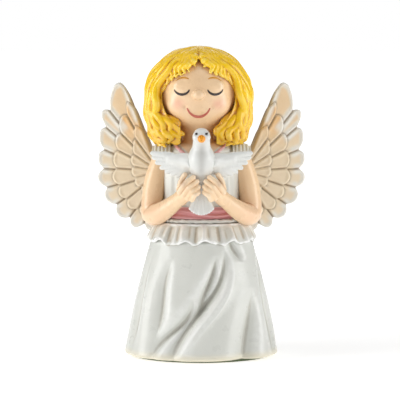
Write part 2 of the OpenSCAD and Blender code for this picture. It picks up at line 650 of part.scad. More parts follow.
felt_pad();
skirt();
peplum();
waist_piping();
sash();
bodice();
neckline_trim();
shoulder_ruffle(1);  // shoulder_ruffle_left
shoulder_ruffle(-1);  // shoulder_ruffle_right
arm(1);  // arm_left
arm(-1);  // arm_right
head();
eyelid_lines();
brow_lines();
smile_line();
hair_crown();
hair_back();
hair_side(1);  // hair_side_left
hair_side(-1);  // hair_side_right
fringe(1);  // fringe_left
fringe(-1);  // fringe_right
dove_body();
dove_wing(1);  // dove_wing_left
dove_wing(-1);  // dove_wing_right
dove_tail();
dove_beak();
dove_eyes();
wing(1);  // wing_left
wing(-1);  // wing_right
wing_pins();
arm_pins();
neck_dowel();
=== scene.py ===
# Looks of the resin angel figurine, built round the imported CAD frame. Sizes are in millimetres until a mesh
# is made, and MM turns them into metres.
import math

import bpy
import numpy as np
import openvdb as vdb
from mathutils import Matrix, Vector
from mathutils.bvhtree import BVHTree


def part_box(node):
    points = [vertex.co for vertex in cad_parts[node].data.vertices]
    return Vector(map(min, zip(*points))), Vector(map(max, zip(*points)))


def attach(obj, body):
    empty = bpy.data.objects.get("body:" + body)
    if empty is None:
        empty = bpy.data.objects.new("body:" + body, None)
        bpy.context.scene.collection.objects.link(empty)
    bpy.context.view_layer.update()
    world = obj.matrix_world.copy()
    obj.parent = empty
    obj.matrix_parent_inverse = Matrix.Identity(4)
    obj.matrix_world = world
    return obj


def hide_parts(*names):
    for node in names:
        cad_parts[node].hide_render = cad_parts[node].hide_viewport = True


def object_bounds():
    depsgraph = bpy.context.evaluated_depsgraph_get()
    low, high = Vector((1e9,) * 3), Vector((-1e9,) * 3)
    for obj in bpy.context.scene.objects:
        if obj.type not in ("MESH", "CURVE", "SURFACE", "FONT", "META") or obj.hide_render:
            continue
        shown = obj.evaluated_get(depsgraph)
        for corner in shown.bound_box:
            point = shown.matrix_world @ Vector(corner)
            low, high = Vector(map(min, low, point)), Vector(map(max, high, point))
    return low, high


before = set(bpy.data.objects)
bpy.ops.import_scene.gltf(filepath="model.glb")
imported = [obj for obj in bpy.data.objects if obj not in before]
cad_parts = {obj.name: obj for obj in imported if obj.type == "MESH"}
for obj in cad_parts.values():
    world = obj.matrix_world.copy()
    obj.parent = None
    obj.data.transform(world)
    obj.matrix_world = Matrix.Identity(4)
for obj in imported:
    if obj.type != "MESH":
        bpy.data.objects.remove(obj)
CAD_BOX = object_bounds()
MM = 0.001


def span(node):
    low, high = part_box(node)
    return np.array(low) / MM, np.array(high) / MM


# -------------------- camera and light

LOW, HIGH = np.array(CAD_BOX[0]) / MM, np.array(CAD_BOX[1]) / MM
CAMERA_RISE = math.radians(4.8)
CAMERA_AWAY = 1060.0
VIEW_WIDTH = 193.0
SENSOR = 36.0
AIM = np.array([-0.7, 0.0, HIGH[2] / 2 + 0.2])
LAMP_AIM = (0, 0, 80)
WALL_LIGHT = 0.21
WHITE = (1, 1, 1, 1)
# Each lamp: its name, place, width and height, and power in watts.
SOFTBOXES = [("softbox_left", (-560, -150, 230), (300, 640), 2.25),
             ("softbox_right", (560, -190, 220), (300, 640), 1.8),
             ("softbox_top", (0, -60, 640), (520, 360), 0.6), ("rim_light", (0, 520, 420), (500, 260), 0.5)]


def show(name, data):
    thing = bpy.data.objects.new(name, data)
    bpy.context.scene.collection.objects.link(thing)
    return thing


def look_at(thing, place, aim):
    thing.location = Vector(place) * MM
    thing.rotation_mode = "QUATERNION"
    thing.rotation_quaternion = (Vector(aim) - Vector(place)).to_track_quat("-Z", "Y")


def make_camera():
    data = bpy.data.cameras.new("camera")
    data.sensor_width = SENSOR
    data.lens = SENSOR * CAMERA_AWAY / VIEW_WIDTH
    data.clip_start, data.clip_end = 0.01, 20.0
    camera = show("camera", data)
    look_at(camera, AIM + CAMERA_AWAY * np.array([0, -math.cos(CAMERA_RISE), math.sin(CAMERA_RISE)]), AIM)
    bpy.context.scene.camera = camera


def make_softbox(name, place, size, watts):
    data = bpy.data.lights.new(name, "AREA")
    data.shape = "RECTANGLE"
    data.size, data.size_y = size[0] * MM, size[1] * MM
    data.energy = watts
    look_at(show(name, data), place, LAMP_AIM)


def make_world():
    """A white backdrop, which lights the object less than it shows, as a distant studio wall does."""
    world = bpy.data.worlds.new("studio")
    bpy.context.scene.world = world
    world.use_nodes = True
    nodes, links = world.node_tree.nodes, world.node_tree.links
    wall, seen = nodes["Background"], nodes.new("ShaderNodeBackground")
    for shader, strength in ((wall, WALL_LIGHT), (seen, 1.0)):
        shader.inputs["Color"].default_value = WHITE
        shader.inputs["Strength"].default_value = strength
    both, path = nodes.new("ShaderNodeMixShader"), nodes.new("ShaderNodeLightPath")
    links.new(path.outputs["Is Camera Ray"], both.inputs["Fac"])
    links.new(wall.outputs[0], both.inputs[1])
    links.new(seen.outputs[0], both.inputs[2])
    links.new(both.outputs[0], nodes["World Output"].inputs["Surface"])


make_camera()
for softbox in SOFTBOXES:
    make_softbox(*softbox)
make_world()
bpy.context.scene.view_settings.view_transform = "Standard"


# -------------------- mesh helpers

def unit(v):
    return np.asarray(v, float) / np.linalg.norm(v)

def mix(a, b, t):
    return a + (b - a) * t


def bell(x):
    return np.exp(-x ** 2)


def around_turns(step):
    """Every turn round the object, in radians, at steps in degrees."""
    return np.radians(np.arange(0, 360, step))


def ramp(x, low, high):
    """0 below low, 1 above high and smooth between."""
    t = np.clip((x - low) / (high - low), 0, 1)
    return t * t * (3 - 2 * t)


def curve(points, steps):
    """A smooth line through the points, with steps parts to each span."""
    p = np.array(points, float)
    out = []
    for i in range(len(p) - 1):
        a, b, c, d = p[max(i - 1, 0)], p[i], p[i + 1], p[min(i + 2, len(p) - 1)]
        for t in np.arange(steps) / steps:
            out.append(0.5 * (2 * b + (c - a) * t + (2 * a - 5 * b + 4 * c - d) * t ** 2
                              + (3 * b - a - 3 * c + d) * t ** 3))
    return np.array(out + [p[-1]])


def build(name, points, faces, smoothing=0):
    """A mesh object from points in millimetres and one or two arrays of faces."""
    points = np.asarray(points, np.float64)
    faces = [np.asarray(f, np.int64) for f in faces if len(f)]
    tris = np.concatenate([f if f.shape[1] == 3 else np.concatenate([f[:, :3], f[:, [0, 2, 3]]])
                           for f in faces])
    a, b, c = (points[tris[:, i]] for i in range(3))
    if np.einsum("ij,ij->", a, np.cross(b, c)) < 0:
        faces = [f[:, ::-1] for f in faces]
    mesh = bpy.data.meshes.new(name)
    corners = np.concatenate([f.ravel() for f in faces])
    sides = np.concatenate([np.full(len(f), f.shape[1]) for f in faces])
    mesh.vertices.add(len(points))
    mesh.loops.add(len(corners))
    mesh.loops.foreach_set("vertex_index", corners.astype(np.int32))
    mesh.polygons.add(len(sides))
    mesh.polygons.foreach_set("loop_start", (np.cumsum(sides) - sides).astype(np.int32))
    mesh.vertices.foreach_set("co", (points * MM).astype(np.float32).ravel())
    mesh.polygons.foreach_set("use_smooth", np.ones(len(sides), bool))
    mesh.update(calc_edges=True)
    mesh.validate()
    thing = show(name, mesh)
    if smoothing:
        place = settle(places(thing), edges_of(thing), smoothing)
        mesh.vertices.foreach_set("co", (place * MM).astype(np.float32).ravel())
        mesh.update()
    return thing


def read(items, name, wide, kind=np.float32):
    values = np.zeros(len(items) * wide, kind)
    items.foreach_get(name, values)
    return values.reshape(-1, wide)


def places(thing):
    return read(thing.data.vertices, "co", 3).astype(float) / MM


def normals(thing):
    return read(thing.data.vertex_normals, "vector", 3).astype(float)


def edges_of(thing):
    return read(thing.data.edges, "vertices", 2, np.int32)


def settle(p, e, rounds):
    """Moves each point halfway to the mean of its neighbours, as often as rounds says."""
    n = len(p)
    ends, others = np.concatenate([e[:, 0], e[:, 1]]), np.concatenate([e[:, 1], e[:, 0]])
    count = np.maximum(np.bincount(ends, minlength=n), 1)[:, None]
    for _ in range(rounds):
        total = np.stack([np.bincount(ends, p[others, i], n) for i in range(p.shape[1])], 1)
        p = 0.5 * p + 0.5 * total / count
    return p


def mark(thing, name, values):
    """Stores one number per vertex for the materials to read."""
    layer = thing.data.attributes.new(name, "FLOAT", "POINT")
    layer.data.foreach_set("value", np.asarray(values, np.float32))


def mark_hollows(thing, rounds, scale):
    """Marks how hollow the surface is: 0.5 is flat, 1 the bottom of a groove and 0 a ridge."""
    p = places(thing)
    away = ((settle(p, edges_of(thing), rounds) - p) * normals(thing)).sum(1)
    away = settle(away[:, None], edges_of(thing), 2)[:, 0]
    mark(thing, "hollow", 0.5 + 0.5 * np.clip(away / scale, -1, 1))


def weave(rows, ring_rows=False, first=0):
    """Points of a surface through closed rows of points, with its quads and triangles numbered from first.
    Unless the rows run in a ring too, a fan closes each end."""
    grid = np.asarray(rows, float)
    m, n = grid.shape[:2]
    i, j = np.arange(m if ring_rows else m - 1)[:, None], np.arange(n)[None, :]
    a, b = i * n + j, i * n + (j + 1) % n
    c, d = ((i + 1) % m) * n + (j + 1) % n, ((i + 1) % m) * n + j
    points, quads = grid.reshape(-1, 3), np.stack([a, b, c, d], -1).reshape(-1, 4)
    if ring_rows:
        return points, quads + first, quads[:0, :3]
    k = np.arange(n)
    fans = np.concatenate([
        np.stack([np.full(n, m * n), (k + 1) % n, k], 1),
        np.stack([np.full(n, m * n + 1), (m - 1) * n + k, (m - 1) * n + (k + 1) % n], 1)])
    return np.concatenate([points, [grid[0].mean(0)], [grid[-1].mean(0)]]), quads + first, fans + first


def woven(name, rows, ring_rows=False, smoothing=0):
    points, quads, fans = weave(rows, ring_rows)
    return build(name, points, [quads, fans], smoothing)


def join(a, b, soft):
    """The nearer of two distances, blended over soft millimetres."""
    if soft <= 0:
        return np.minimum(a, b)
    h = np.clip(0.5 + 0.5 * (b - a) / soft, 0, 1)
    return b + (a - b) * h - soft * h * (1 - h)


FAR = 9.0  # a distance that stands for nothing near


class Clay:
    """A block of distances to a surface. Shapes are added and cut, and then it is meshed."""

    def __init__(self, low, high, step):
        self.step = step
        self.low = np.array(low, float)
        self.size = np.ceil((np.array(high, float) - self.low) / step).astype(int) + 1
        self.field = np.full(self.size, FAR, np.float32)

    def window(self, low, high):
        a = np.clip(np.floor((np.asarray(low) - self.low) / self.step).astype(int), 0, self.size - 2)
        b = np.clip(np.ceil((np.asarray(high) - self.low) / self.step).astype(int) + 1, a + 1, self.size)
        axes = [(self.low[i] + self.step * np.arange(a[i], b[i])).astype(np.float32) for i in range(3)]
        return tuple(slice(a[i], b[i]) for i in range(3)), np.meshgrid(*axes, indexing="ij", sparse=True)

    def everywhere(self):
        return self.window(self.low, self.low + self.step * self.size)[1]

    def put(self, place, field, soft, cut):
        old = self.field[place]
        self.field[place] = -join(-old, field, soft) if cut else join(old, field, soft)

    def ball(self, centre, half, soft=0.0, cut=False, margin=2.5):
        centre, half = np.array(centre, float), np.array(half, float) * np.ones(3)
        place, (x, y, z) = self.window(centre - half - margin - soft, centre + half + margin + soft)
        q = [(v - c) / h for v, c, h in zip((x, y, z), centre, half)]
        k0 = np.sqrt(q[0] ** 2 + q[1] ** 2 + q[2] ** 2)
        k1 = np.sqrt((q[0] / half[0]) ** 2 + (q[1] / half[1]) ** 2 + (q[2] / half[2]) ** 2)
        self.put(place, k0 * (k0 - 1) / np.maximum(k1, 1e-4), soft, cut)

    def line(self, points, soft=0.0, cut=False, flat=(1, 1, 1), margin=1.6):
        """Round segments along points of [x, y, z, radius]. flat thins them along an axis."""
        p = np.array(points, float)
        reach = p[:, 3].max() + margin + soft
        place, (x, y, z) = self.window(p[:, :3].min(0) - reach, p[:, :3].max(0) + reach)
        start = np.array([s.start for s in place])
        own = np.full(self.field[place].shape, FAR, np.float32)
        for a, b in zip(p[:-1], p[1:]):
            part, (x, y, z) = self.window(np.minimum(a, b)[:3] - reach, np.maximum(a, b)[:3] + reach)
            part = tuple(slice(s.start - o, s.stop - o) for s, o in zip(part, start))
            d = (b - a)[:3]
            t = ((x - a[0]) * d[0] + (y - a[1]) * d[1] + (z - a[2]) * d[2]) / max(d @ d, 1e-9)
            t = np.clip(t, 0, 1)
            gap = np.sqrt(((x - a[0] - t * d[0]) / flat[0]) ** 2 + ((y - a[1] - t * d[1]) / flat[1]) ** 2
                          + ((z - a[2] - t * d[2]) / flat[2]) ** 2) - (a[3] + t * (b[3] - a[3]))
            own[part] = np.minimum(own[part], gap * min(flat))
        self.put(place, own, soft, cut)

    def soften(self):
        for axis in range(3):
            f = np.pad(self.field, [(1, 1) if i == axis else (0, 0) for i in range(3)], "edge")
            low, mid, high = (np.take(f, range(o, o + self.field.shape[axis]), axis) for o in range(3))
            self.field = (low + 2 * mid + high) / 4

    def mesh(self, name, smoothing=2, place=None):
        grid = vdb.FloatGrid(FAR)
        grid.copyFromArray(np.ascontiguousarray(self.field, np.float32))
        grid.transform = vdb.createLinearTransform(voxelSize=self.step)
        points, quads = grid.convertToQuads(0.0)
        points = np.asarray(points, float) + self.low
        return build(name, points if place is None else place(points), [np.asarray(quads)], smoothing)


def clay_for(node, margin, step):
    low, high = span(node)
    return Clay(low - margin, high + margin, step)


def piece(thing, material, slot, *nodes, hollows, **marks):
    """Finishes a piece. hollows is how far and how deep the washed-in brown and painted shade look for
    hollows, and each further mark is one number per vertex. A mark that is left out reads as 0."""
    mark_hollows(thing, *hollows)
    for name, values in marks.items():
        mark(thing, name, values)
    thing.data.materials.append(material)
    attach(thing, "root")
    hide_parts(*nodes)


# -------------------- materials

class Nodes:
    """A short way to wire a material's nodes."""

    def __init__(self, name):
        self.material = bpy.data.materials.new(name)
        self.material.use_nodes = True
        self.tree = self.material.node_tree
        self.shader = self.tree.nodes["Principled BSDF"]
        self.place = self.add("ShaderNodeTexCoord").outputs["Object"]

    def add(self, kind, **values):
        node = self.tree.nodes.new(kind)
        for key, value in values.items():
            setattr(node, key, value)
        return node

    def feed(self, socket, value):
        if isinstance(value, bpy.types.NodeSocket):
            self.tree.links.new(value, socket)
        elif hasattr(value, "__len__"):
            socket.default_value = tuple(value) + (1,) * (4 - len(value))
        else:
            socket.default_value = value

    def set(self, name, value):
        self.feed(self.shader.inputs[name], value)

    def noise(self, scale, detail=3.0, rough=0.55, distort=0.0):
        n = self.add("ShaderNodeTexNoise")
        self.feed(n.inputs["Vector"], self.place)
        values = {"Scale": scale, "Detail": detail, "Roughness": rough, "Distortion": distort}
        for key, value in values.items():
            n.inputs[key].default_value = value
        return n.outputs["Fac"]

    def spread(self, value, low, high, to_low=0.0, to_high=1.0, smooth=True):
        n = self.add("ShaderNodeMapRange", interpolation_type="SMOOTHSTEP" if smooth else "LINEAR")
        for i, v in enumerate((value, low, high, to_low, to_high)):
            self.feed(n.inputs[i], v)
        return n.outputs[0]

    def times(self, a, b, kind="MULTIPLY"):
        n = self.add("ShaderNodeMath", operation=kind, use_clamp=True)
        self.feed(n.inputs[0], a)
        self.feed(n.inputs[1], b)
        return n.outputs[0]

    def blend(self, share, a, b, kind="MIX"):
        n = self.add("ShaderNodeMix", data_type="RGBA", blend_type=kind)
        self.feed(n.inputs["Factor"], share)
        self.feed(n.inputs["A"], a)
        self.feed(n.inputs["B"], b)
        return n.outputs["Result"]

    def marked(self, name):
        return self.add("ShaderNodeAttribute", attribute_name=name).outputs["Fac"]

    def bump(self, height, distance, strength=1.0, under=None):
        n = self.add("ShaderNodeBump")
        self.feed(n.inputs["Height"], height)
        n.inputs["Distance"].default_value = distance
        n.inputs["Strength"].default_value = strength
        if under is not None:
            self.feed(n.inputs["Normal"], under)
        return n.outputs["Normal"]


def srgb(r, g, b):
    return tuple((v / 255 / 12.92) if v <= 10 else (((v / 255) + 0.055) / 1.055) ** 2.4 for v in (r, g, b))


def paint(name, base, shade, wash_and_shade=None, drybrush_and_highlight=None, wash_and_shade_at=(0.56, 0.9), drybrush_and_highlight_at=(0.42, 0.1),
          wash_and_shade_share=0.9, tints=(), rough=(0.26, 0.42), coat=0.35, mottle=0.35):
    """Satin paint over cast resin: a base coat that wanders between two colours, a darker washed-in brown
    that is also painted shade in the hollows, a lighter dry-brushed edge that is also a painted highlight on
    the ridges, and tints where the mesh is marked, some of which are painted shade or painted highlight."""
    n = Nodes(name)
    drift = n.spread(n.noise(70, 4), 0.35, 0.7)
    colour = n.blend(n.times(drift, mottle), srgb(*base), srgb(*shade))
    hollow = n.marked("hollow")
    patchy = n.noise(420, 3)
    # Ridges take the lighter dry-brushed colour, partly the paint's own colour and partly a painted
    # highlight.
    if drybrush_and_highlight:
        share = n.times(n.spread(hollow, *drybrush_and_highlight_at), n.spread(patchy, 0.25, 0.7, 0.55, 1))
        colour = n.blend(share, colour, srgb(*drybrush_and_highlight))
    for mark_name, tint, share in tints:
        share = n.times(n.marked(mark_name), n.spread(patchy, 0.2, 0.8, share * 0.82, share))
        colour = n.blend(share, colour, srgb(*tint))
    # Hollows take the darker washed-in brown, partly the paint's own colour and partly painted shade in
    # creases and recesses.
    if wash_and_shade:
        share = n.times(n.spread(hollow, *wash_and_shade_at), n.spread(patchy, 0.2, 0.75, wash_and_shade_share * 0.7, wash_and_shade_share))
        colour = n.blend(share, colour, srgb(*wash_and_shade))
    n.set("Base Color", colour)
    gloss = n.times(n.noise(160, 4), n.spread(hollow, 0.5, 1, 1, 1.25, False))
    n.set("Roughness", n.spread(gloss, 0.3, 0.75, *rough))
    soft = n.bump(n.noise(240, 2), RIPPLE * 3, 0.35)
    n.set("Normal", n.bump(n.noise(1500, 2), RIPPLE, 0.35, soft))
    n.set("Coat Weight", coat)
    n.set("Coat Roughness", 0.16)
    n.set("IOR", 1.5)
    return n.material


RIPPLE = 0.00012  # the paint film's ripples, in metres
PEARL, PEARL_SHADE = (226, 227, 220), (214, 216, 208)
dress_paint = paint("dress_pearl", PEARL, PEARL_SHADE, wash_and_shade=(178, 172, 158), drybrush_and_highlight=(240, 241, 236),
    wash_and_shade_at=(0.6, 1.0), wash_and_shade_share=0.55,
    tints=(("foot", (232, 222, 190), 0.7), ("bare", (240, 208, 172), 1.0)))
# frill: the deep tint is painted shade, a darker beige over the peplum's body and underside.
frill_paint = paint("frill_pearl", PEARL, PEARL_SHADE, wash_and_shade=(188, 172, 148), drybrush_and_highlight=(252, 252, 250),
    wash_and_shade_at=(0.5, 0.74), wash_and_shade_share=0.85, tints=(("deep", (214, 200, 176), 0.3),))
# dove: its tint is painted shade, a grey stripe down the middle of the body's front.
dove_paint = paint("dove_pearl", (228, 229, 225), (218, 219, 214), wash_and_shade=(176, 172, 164),
    drybrush_and_highlight=(240, 240, 237), wash_and_shade_share=0.6, tints=(("breast", (178, 176, 170), 0.55),))
# wing: warm and rim are the paint's own colours; the groove tint is dark lining along the feathers' sides and
# painted shade at the foot of each row's step.
wing_paint = paint("wing_tan", (232, 214, 184), (218, 198, 168), wash_and_shade=(140, 120, 94), drybrush_and_highlight=(232, 220, 196),
    wash_and_shade_at=(0.54, 0.84), rough=(0.34, 0.5), coat=0.2,
    tints=(("warm", (234, 180, 104), 0.85), ("rim", (232, 230, 222), 0.95),
    ("groove", (146, 126, 100), 0.8)))
sash_paint = paint("sash_rose", (214, 142, 142), (204, 126, 126), wash_and_shade=(158, 84, 86), drybrush_and_highlight=(238, 188, 190),
    wash_and_shade_at=(0.54, 0.9), drybrush_and_highlight_at=(0.46, 0.2))
skin_paint = paint("skin_resin", (248, 214, 172), (244, 205, 160), wash_and_shade=(192, 120, 62),
    drybrush_and_highlight=(252, 228, 196), wash_and_shade_at=(0.55, 0.85), wash_and_shade_share=0.8, mottle=0.3,
    rough=(0.24, 0.36), coat=0.45,
    tints=(("blush", (240, 160, 138), 0.55), ("shadow", (150, 96, 56), 0.85),
    ("shade", (220, 178, 134), 0.55)))
hair_paint = paint("hair_yellow", (255, 208, 8), (252, 196, 4), wash_and_shade=(188, 108, 6), drybrush_and_highlight=(255, 226, 92),
    wash_and_shade_at=(0.52, 0.8), drybrush_and_highlight_at=(0.4, 0.05), wash_and_shade_share=0.95, rough=(0.22, 0.36), coat=0.45,
    tints=(("amber", (214, 146, 18), 0.8),))
beak_paint = paint("beak_orange", (250, 166, 32), (240, 150, 20), wash_and_shade=(150, 84, 16), wash_and_shade_at=(0.54, 0.8))
dark_paint = paint("eye_ink", (58, 48, 42), (44, 36, 32), drybrush_and_highlight=(84, 72, 62), coat=0.6)
lid_paint = paint("lid_ink", (50, 38, 32), (40, 30, 26), drybrush_and_highlight=(66, 54, 46), coat=0.2)
brow_paint = paint("brow_gold", (214, 150, 52), (196, 128, 40), drybrush_and_highlight=(240, 190, 90))
# lip: the upper tint is a painted highlight on the upward-facing side of the smile line.
lip_paint = paint("lip_red", (186, 84, 62), (164, 66, 48), drybrush_and_highlight=(226, 140, 122),
    tints=(("upper", (238, 176, 160), 0.9),))


def felt_material():
    n = Nodes("felt")
    fibre = n.noise(2600, 6, 0.75, 1.5)
    colour = n.blend(n.spread(fibre, 0.3, 0.7), srgb(74, 88, 58), srgb(112, 126, 90))
    worn = n.spread(n.noise(180, 3), 0.3, 0.8, 0, 0.4)
    n.set("Base Color", n.blend(worn, colour, srgb(84, 92, 66)))
    n.set("Roughness", n.spread(fibre, 0.2, 0.8, 0.85, 1.0))
    n.set("Normal", n.bump(fibre, 0.0004, 0.8))
    n.set("Sheen Weight", 0.4)
    return n.material


def steel_material():
    n = Nodes("pin_steel")
    stretch = n.add("ShaderNodeMapping")
    n.feed(stretch.inputs["Vector"], n.place)
    stretch.inputs["Scale"].default_value = (1, 1, 0.05)
    n.place = stretch.outputs["Vector"]
    grain = n.noise(3000, 4)
    n.set("Base Color", n.blend(grain, srgb(150, 154, 160), srgb(198, 201, 205)))
    n.set("Roughness", n.spread(grain, 0.2, 0.8, 0.28, 0.46))
    n.set("Normal", n.bump(grain, 0.00005, 0.4))
    n.set("Metallic", 1.0)
    return n.material


felt, steel = felt_material(), steel_material()
for node, material in (("felt_pad", felt), ("wing_pins", steel), ("arm_pins", steel), ("neck_dowel", steel)):
    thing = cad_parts[node]
    thing.data.materials.clear()
    thing.data.materials.append(material)

# -------------------- skirt

skirt_low, skirt_high = span("skirt")
HEM_Z, WAIST_Z = skirt_low[2], skirt_high[2]
SKIRT_H = WAIST_Z - HEM_Z
HEM_HALF, WAIST_HALF = np.array([37.3, 31.0]), np.array([23.2, 18.5])
SKIRT_SWELL = 0.8
SKIRT_TUCK = 2.8  # how far the cloth goes in under the peplum
HEM_ROUND = 1.6
FOLD_DEPTH, FOLD_WIDTH, LIP_HEIGHT = 2.3, 1.75, 0.3  # what all the folds are scaled by
# Folds: turn at the top and at the foot, share of the height at the top and the foot, depth, width in
# degrees, how far the fold bows sideways, and how much of a raised lip follows it.
FOLDS = [
    (-31, -46, 0.80, 0.06, 1.5, 6.5, 3, 0.25), (-8, -42, 0.50, -0.06, 1.7, 5.5, -5, 0.5),
    (15, -2, 0.82, 0.32, 1.9, 4.6, -2, 0.6), (25, -23, 0.86, -0.08, 2.9, 5.6, -7, 0.8),
    (33, 46, 0.99, 0.76, 1.4, 5.0, 0, 0.2), (52, 32, 0.56, -0.25, 2.4, 9.5, -2, 0.3),
    (86, 64, 0.85, -0.15, 1.0, 6.0, 3, 0.4), (114, 98, 0.60, -0.20, 1.1, 5.0, -3, 0.5),
    (130, 112, 0.90, 0.25, 1.6, 6.0, 2, 0.4), (158, 128, 0.72, -0.20, 2.2, 7.0, -4, 0.6),
    (182, 160, 0.90, 0.10, 1.6, 6.0, 3, 0.4), (212, 184, 0.62, -0.20, 2.2, 7.0, -3, 0.6),
    (232, 212, 0.88, 0.20, 1.6, 6.0, 2, 0.4), (258, 236, 0.70, -0.20, 1.3, 6.0, -3, 0.5),
    (298, 286, 0.86, -0.10, 0.8, 5.0, 3, 0.4)]


def fold_depth(turn, t):
    """How far the cloth is pushed in at a turn in degrees and a share t of the skirt's height."""
    depth = np.zeros(np.broadcast(turn, t).shape)
    for top, foot, high, low, deep, wide, bow, lip in FOLDS:
        u = (t - low) / (high - low)
        inside = (u > 0) & (u < 1)
        u = np.clip(u, 0, 1)
        middle = mix(foot, top, u) + bow * np.sin(2 * np.pi * u)
        off = (turn - middle + 180) % 360 - 180
        fade = np.sin(np.pi * u) ** 1.25 * inside
        narrow = FOLD_WIDTH * wide * (0.55 + 0.45 * (1 - u))
        side = np.where(off > 0, narrow * 0.62, narrow)
        groove = np.exp(-(np.abs(off) / side) ** 1.35)
        raised = LIP_HEIGHT * lip * bell((off - narrow * 1.25) / (narrow * 0.8))
        depth += FOLD_DEPTH * deep * fade * (groove - raised)
    return depth


def skirt_half(t):
    straight = WAIST_HALF + (HEM_HALF - WAIST_HALF) * (1 - t[..., None])
    return straight + SKIRT_SWELL * np.sin(np.pi * t)[..., None]


def skirt_tuck(t):
    return SKIRT_TUCK * ramp(t, 0.9, 1)


def around(turn, half, z):
    """Points at turns, in radians from the front, on level ovals of half sizes half at heights z."""
    return np.stack([half[..., 0] * np.sin(turn), -half[..., 1] * np.cos(turn), z * np.ones_like(turn)], -1)


def make_skirt():
    turn = np.arange(0, 360, 0.75)[None, :]
    bend = np.radians(np.linspace(0, 90, 9))
    rise = np.linspace(HEM_ROUND / SKIRT_H, 1, 190)[1:]
    t = np.concatenate([HEM_ROUND * (1 - np.cos(bend)) / SKIRT_H, rise])[:, None]
    inset = np.concatenate([HEM_ROUND * (1 - np.sin(bend)), 0 * rise])[:, None]
    sink = np.maximum(fold_depth(turn, t), -0.9) + inset + skirt_tuck(t)
    half = skirt_half(t * np.ones_like(turn)) - sink[..., None]
    skirt = woven("skirt_cloth", around(np.radians(turn), half, HEM_Z + SKIRT_H * t))
    foot = 1 - ramp(places(skirt)[:, 2], HEM_Z + 0.5, HEM_Z + 4.5)
    piece(skirt, dress_paint, "dress", "skirt", hollows=(60, 0.32), foot=foot)


# -------------------- waist

bodice_high = span("bodice")[1]
SHOULDER_Z = bodice_high[2]
BODICE_HALF = bodice_high[:2]
# The bodice's width, as a share of its widest, at shares of its height.
BODICE_SHAPE = np.array([[0, 0.94], [0.2, 0.98], [0.4, 1.0], [0.8, 1], [0.9, 0.95], [0.96, 0.86], [1, 0.68]])
SASH_INSIDE, SASH_TURNS = 17.8, 1.7
PEPLUM_WAVES = 12
PEPLUM_LIP = 1.0


def bodice_half(z):
    share = np.interp((z - WAIST_Z) / (SHOULDER_Z - WAIST_Z), BODICE_SHAPE[:, 0], BODICE_SHAPE[:, 1])
    return np.asarray(share)[..., None] * BODICE_HALF


def skirt_share(z):
    return np.clip((z - HEM_Z) / SKIRT_H, 0, 1)


def waist_ring(turn, z, out):
    """Points round the waist at heights z, out millimetres off the dress."""
    z, out = np.broadcast_to(z, turn.shape), np.broadcast_to(out, turn.shape)
    half = np.where((z <= WAIST_Z)[..., None], skirt_half(skirt_share(z)), bodice_half(z))
    return around(turn, half + out[..., None], z)


def make_peplum():
    low, high = span("peplum")
    top, foot = high[2], low[2] + 0.7
    turn = around_turns(0.6)
    bend = PEPLUM_WAVES * turn + 0.5 * np.sin(3 * turn) + 0.3 * np.sin(7 * turn + 1)
    wave = np.sin(bend) + 0.35 * np.sin(21 * turn + 1.1)
    gather = np.sin(bend + 0.5) + 0.45 * np.sin(31 * turn + 0.6)
    swing = 0.5 * np.sin(4 * turn + 0.6) + 0.4 * np.sin(7 * turn + 2.0)
    start = bodice_half(np.array(top)) + 2.0
    finish = skirt_half(np.array((foot - HEM_Z) / SKIRT_H)) + 0.9
    seam = foot + 1.4 + 0.9 * wave + 0.5 * swing

    def row(share, z, out):
        under = skirt_share(z) * np.ones_like(turn)
        skirt = skirt_half(under) + 0.6 - skirt_tuck(under)[..., None]
        return around(turn, np.maximum(mix(start, finish, share) + np.asarray(out)[..., None], skirt), z)

    rows = []
    for s in np.linspace(0, 1, 34):  # outside, from the sash down to the hem
        pinch = 0.3 * math.sin(math.pi * s) * np.cos(26 * turn) ** 2
        crease = 1.5 * s ** 0.5 * gather * (1.1 - 0.7 * s) - pinch
        rows.append(row(s ** 0.52, mix(top, seam, s), crease + 0.3 * s * swing + 0.35 * s ** 5))
    edge = 0.5 * gather + 0.25 * swing + 0.35
    for b in np.radians(np.arange(20, 181, 20)):  # the thick rolled hem
        rows.append(row(1, seam - PEPLUM_LIP * math.sin(b), edge - PEPLUM_LIP * (1 - math.cos(b))))
    for s in np.linspace(0.2, 1, 5):  # back up inside to the skirt
        rows.append(row(1, mix(seam, foot + 4.4, s), mix(edge - 2 * PEPLUM_LIP, -2.6, s ** 0.5)))
    rows.append(waist_ring(turn, WAIST_Z + 0.2, 0.15))
    rows.append(waist_ring(turn, top - 0.2, 0.15))
    peplum = woven("peplum_cloth", rows, ring_rows=True, smoothing=1)
    z = places(peplum)[:, 2]
    # Painted shade: darker beige over the peplum's body and underside, leaving the rolled hem and the top
    # pale.
    deep = ramp(z, foot + 2.0, foot + 4.6) * (1 - ramp(z, top - 1.6, top))
    piece(peplum, frill_paint, "dress", "peplum", hollows=(40, 0.3), deep=deep)


def tube(name, centre, turn, radius, count=12):
    """A cord of a changing radius round the dress, along centre."""
    out, up = around(turn, np.ones((1, 2)), 0), np.array([0, 0, 1.0])
    rows = [centre + (radius * math.cos(b))[:, None] * out + (radius * math.sin(b))[:, None] * up
            for b in 2 * np.pi * np.arange(count) / count]
    return woven(name, np.stack(rows, 1), ring_rows=True)


def make_piping():
    low, high = span("waist_piping")
    turn = around_turns(1.0)
    centre = waist_ring(turn, (low[2] + high[2]) / 2 + 0.12 * np.sin(23 * turn), 1.3)
    piping = tube("piping", centre, turn, 0.98 + 0.1 * np.sin(37 * turn))
    piece(piping, frill_paint, "dress", "waist_piping", hollows=(10, 1.0))


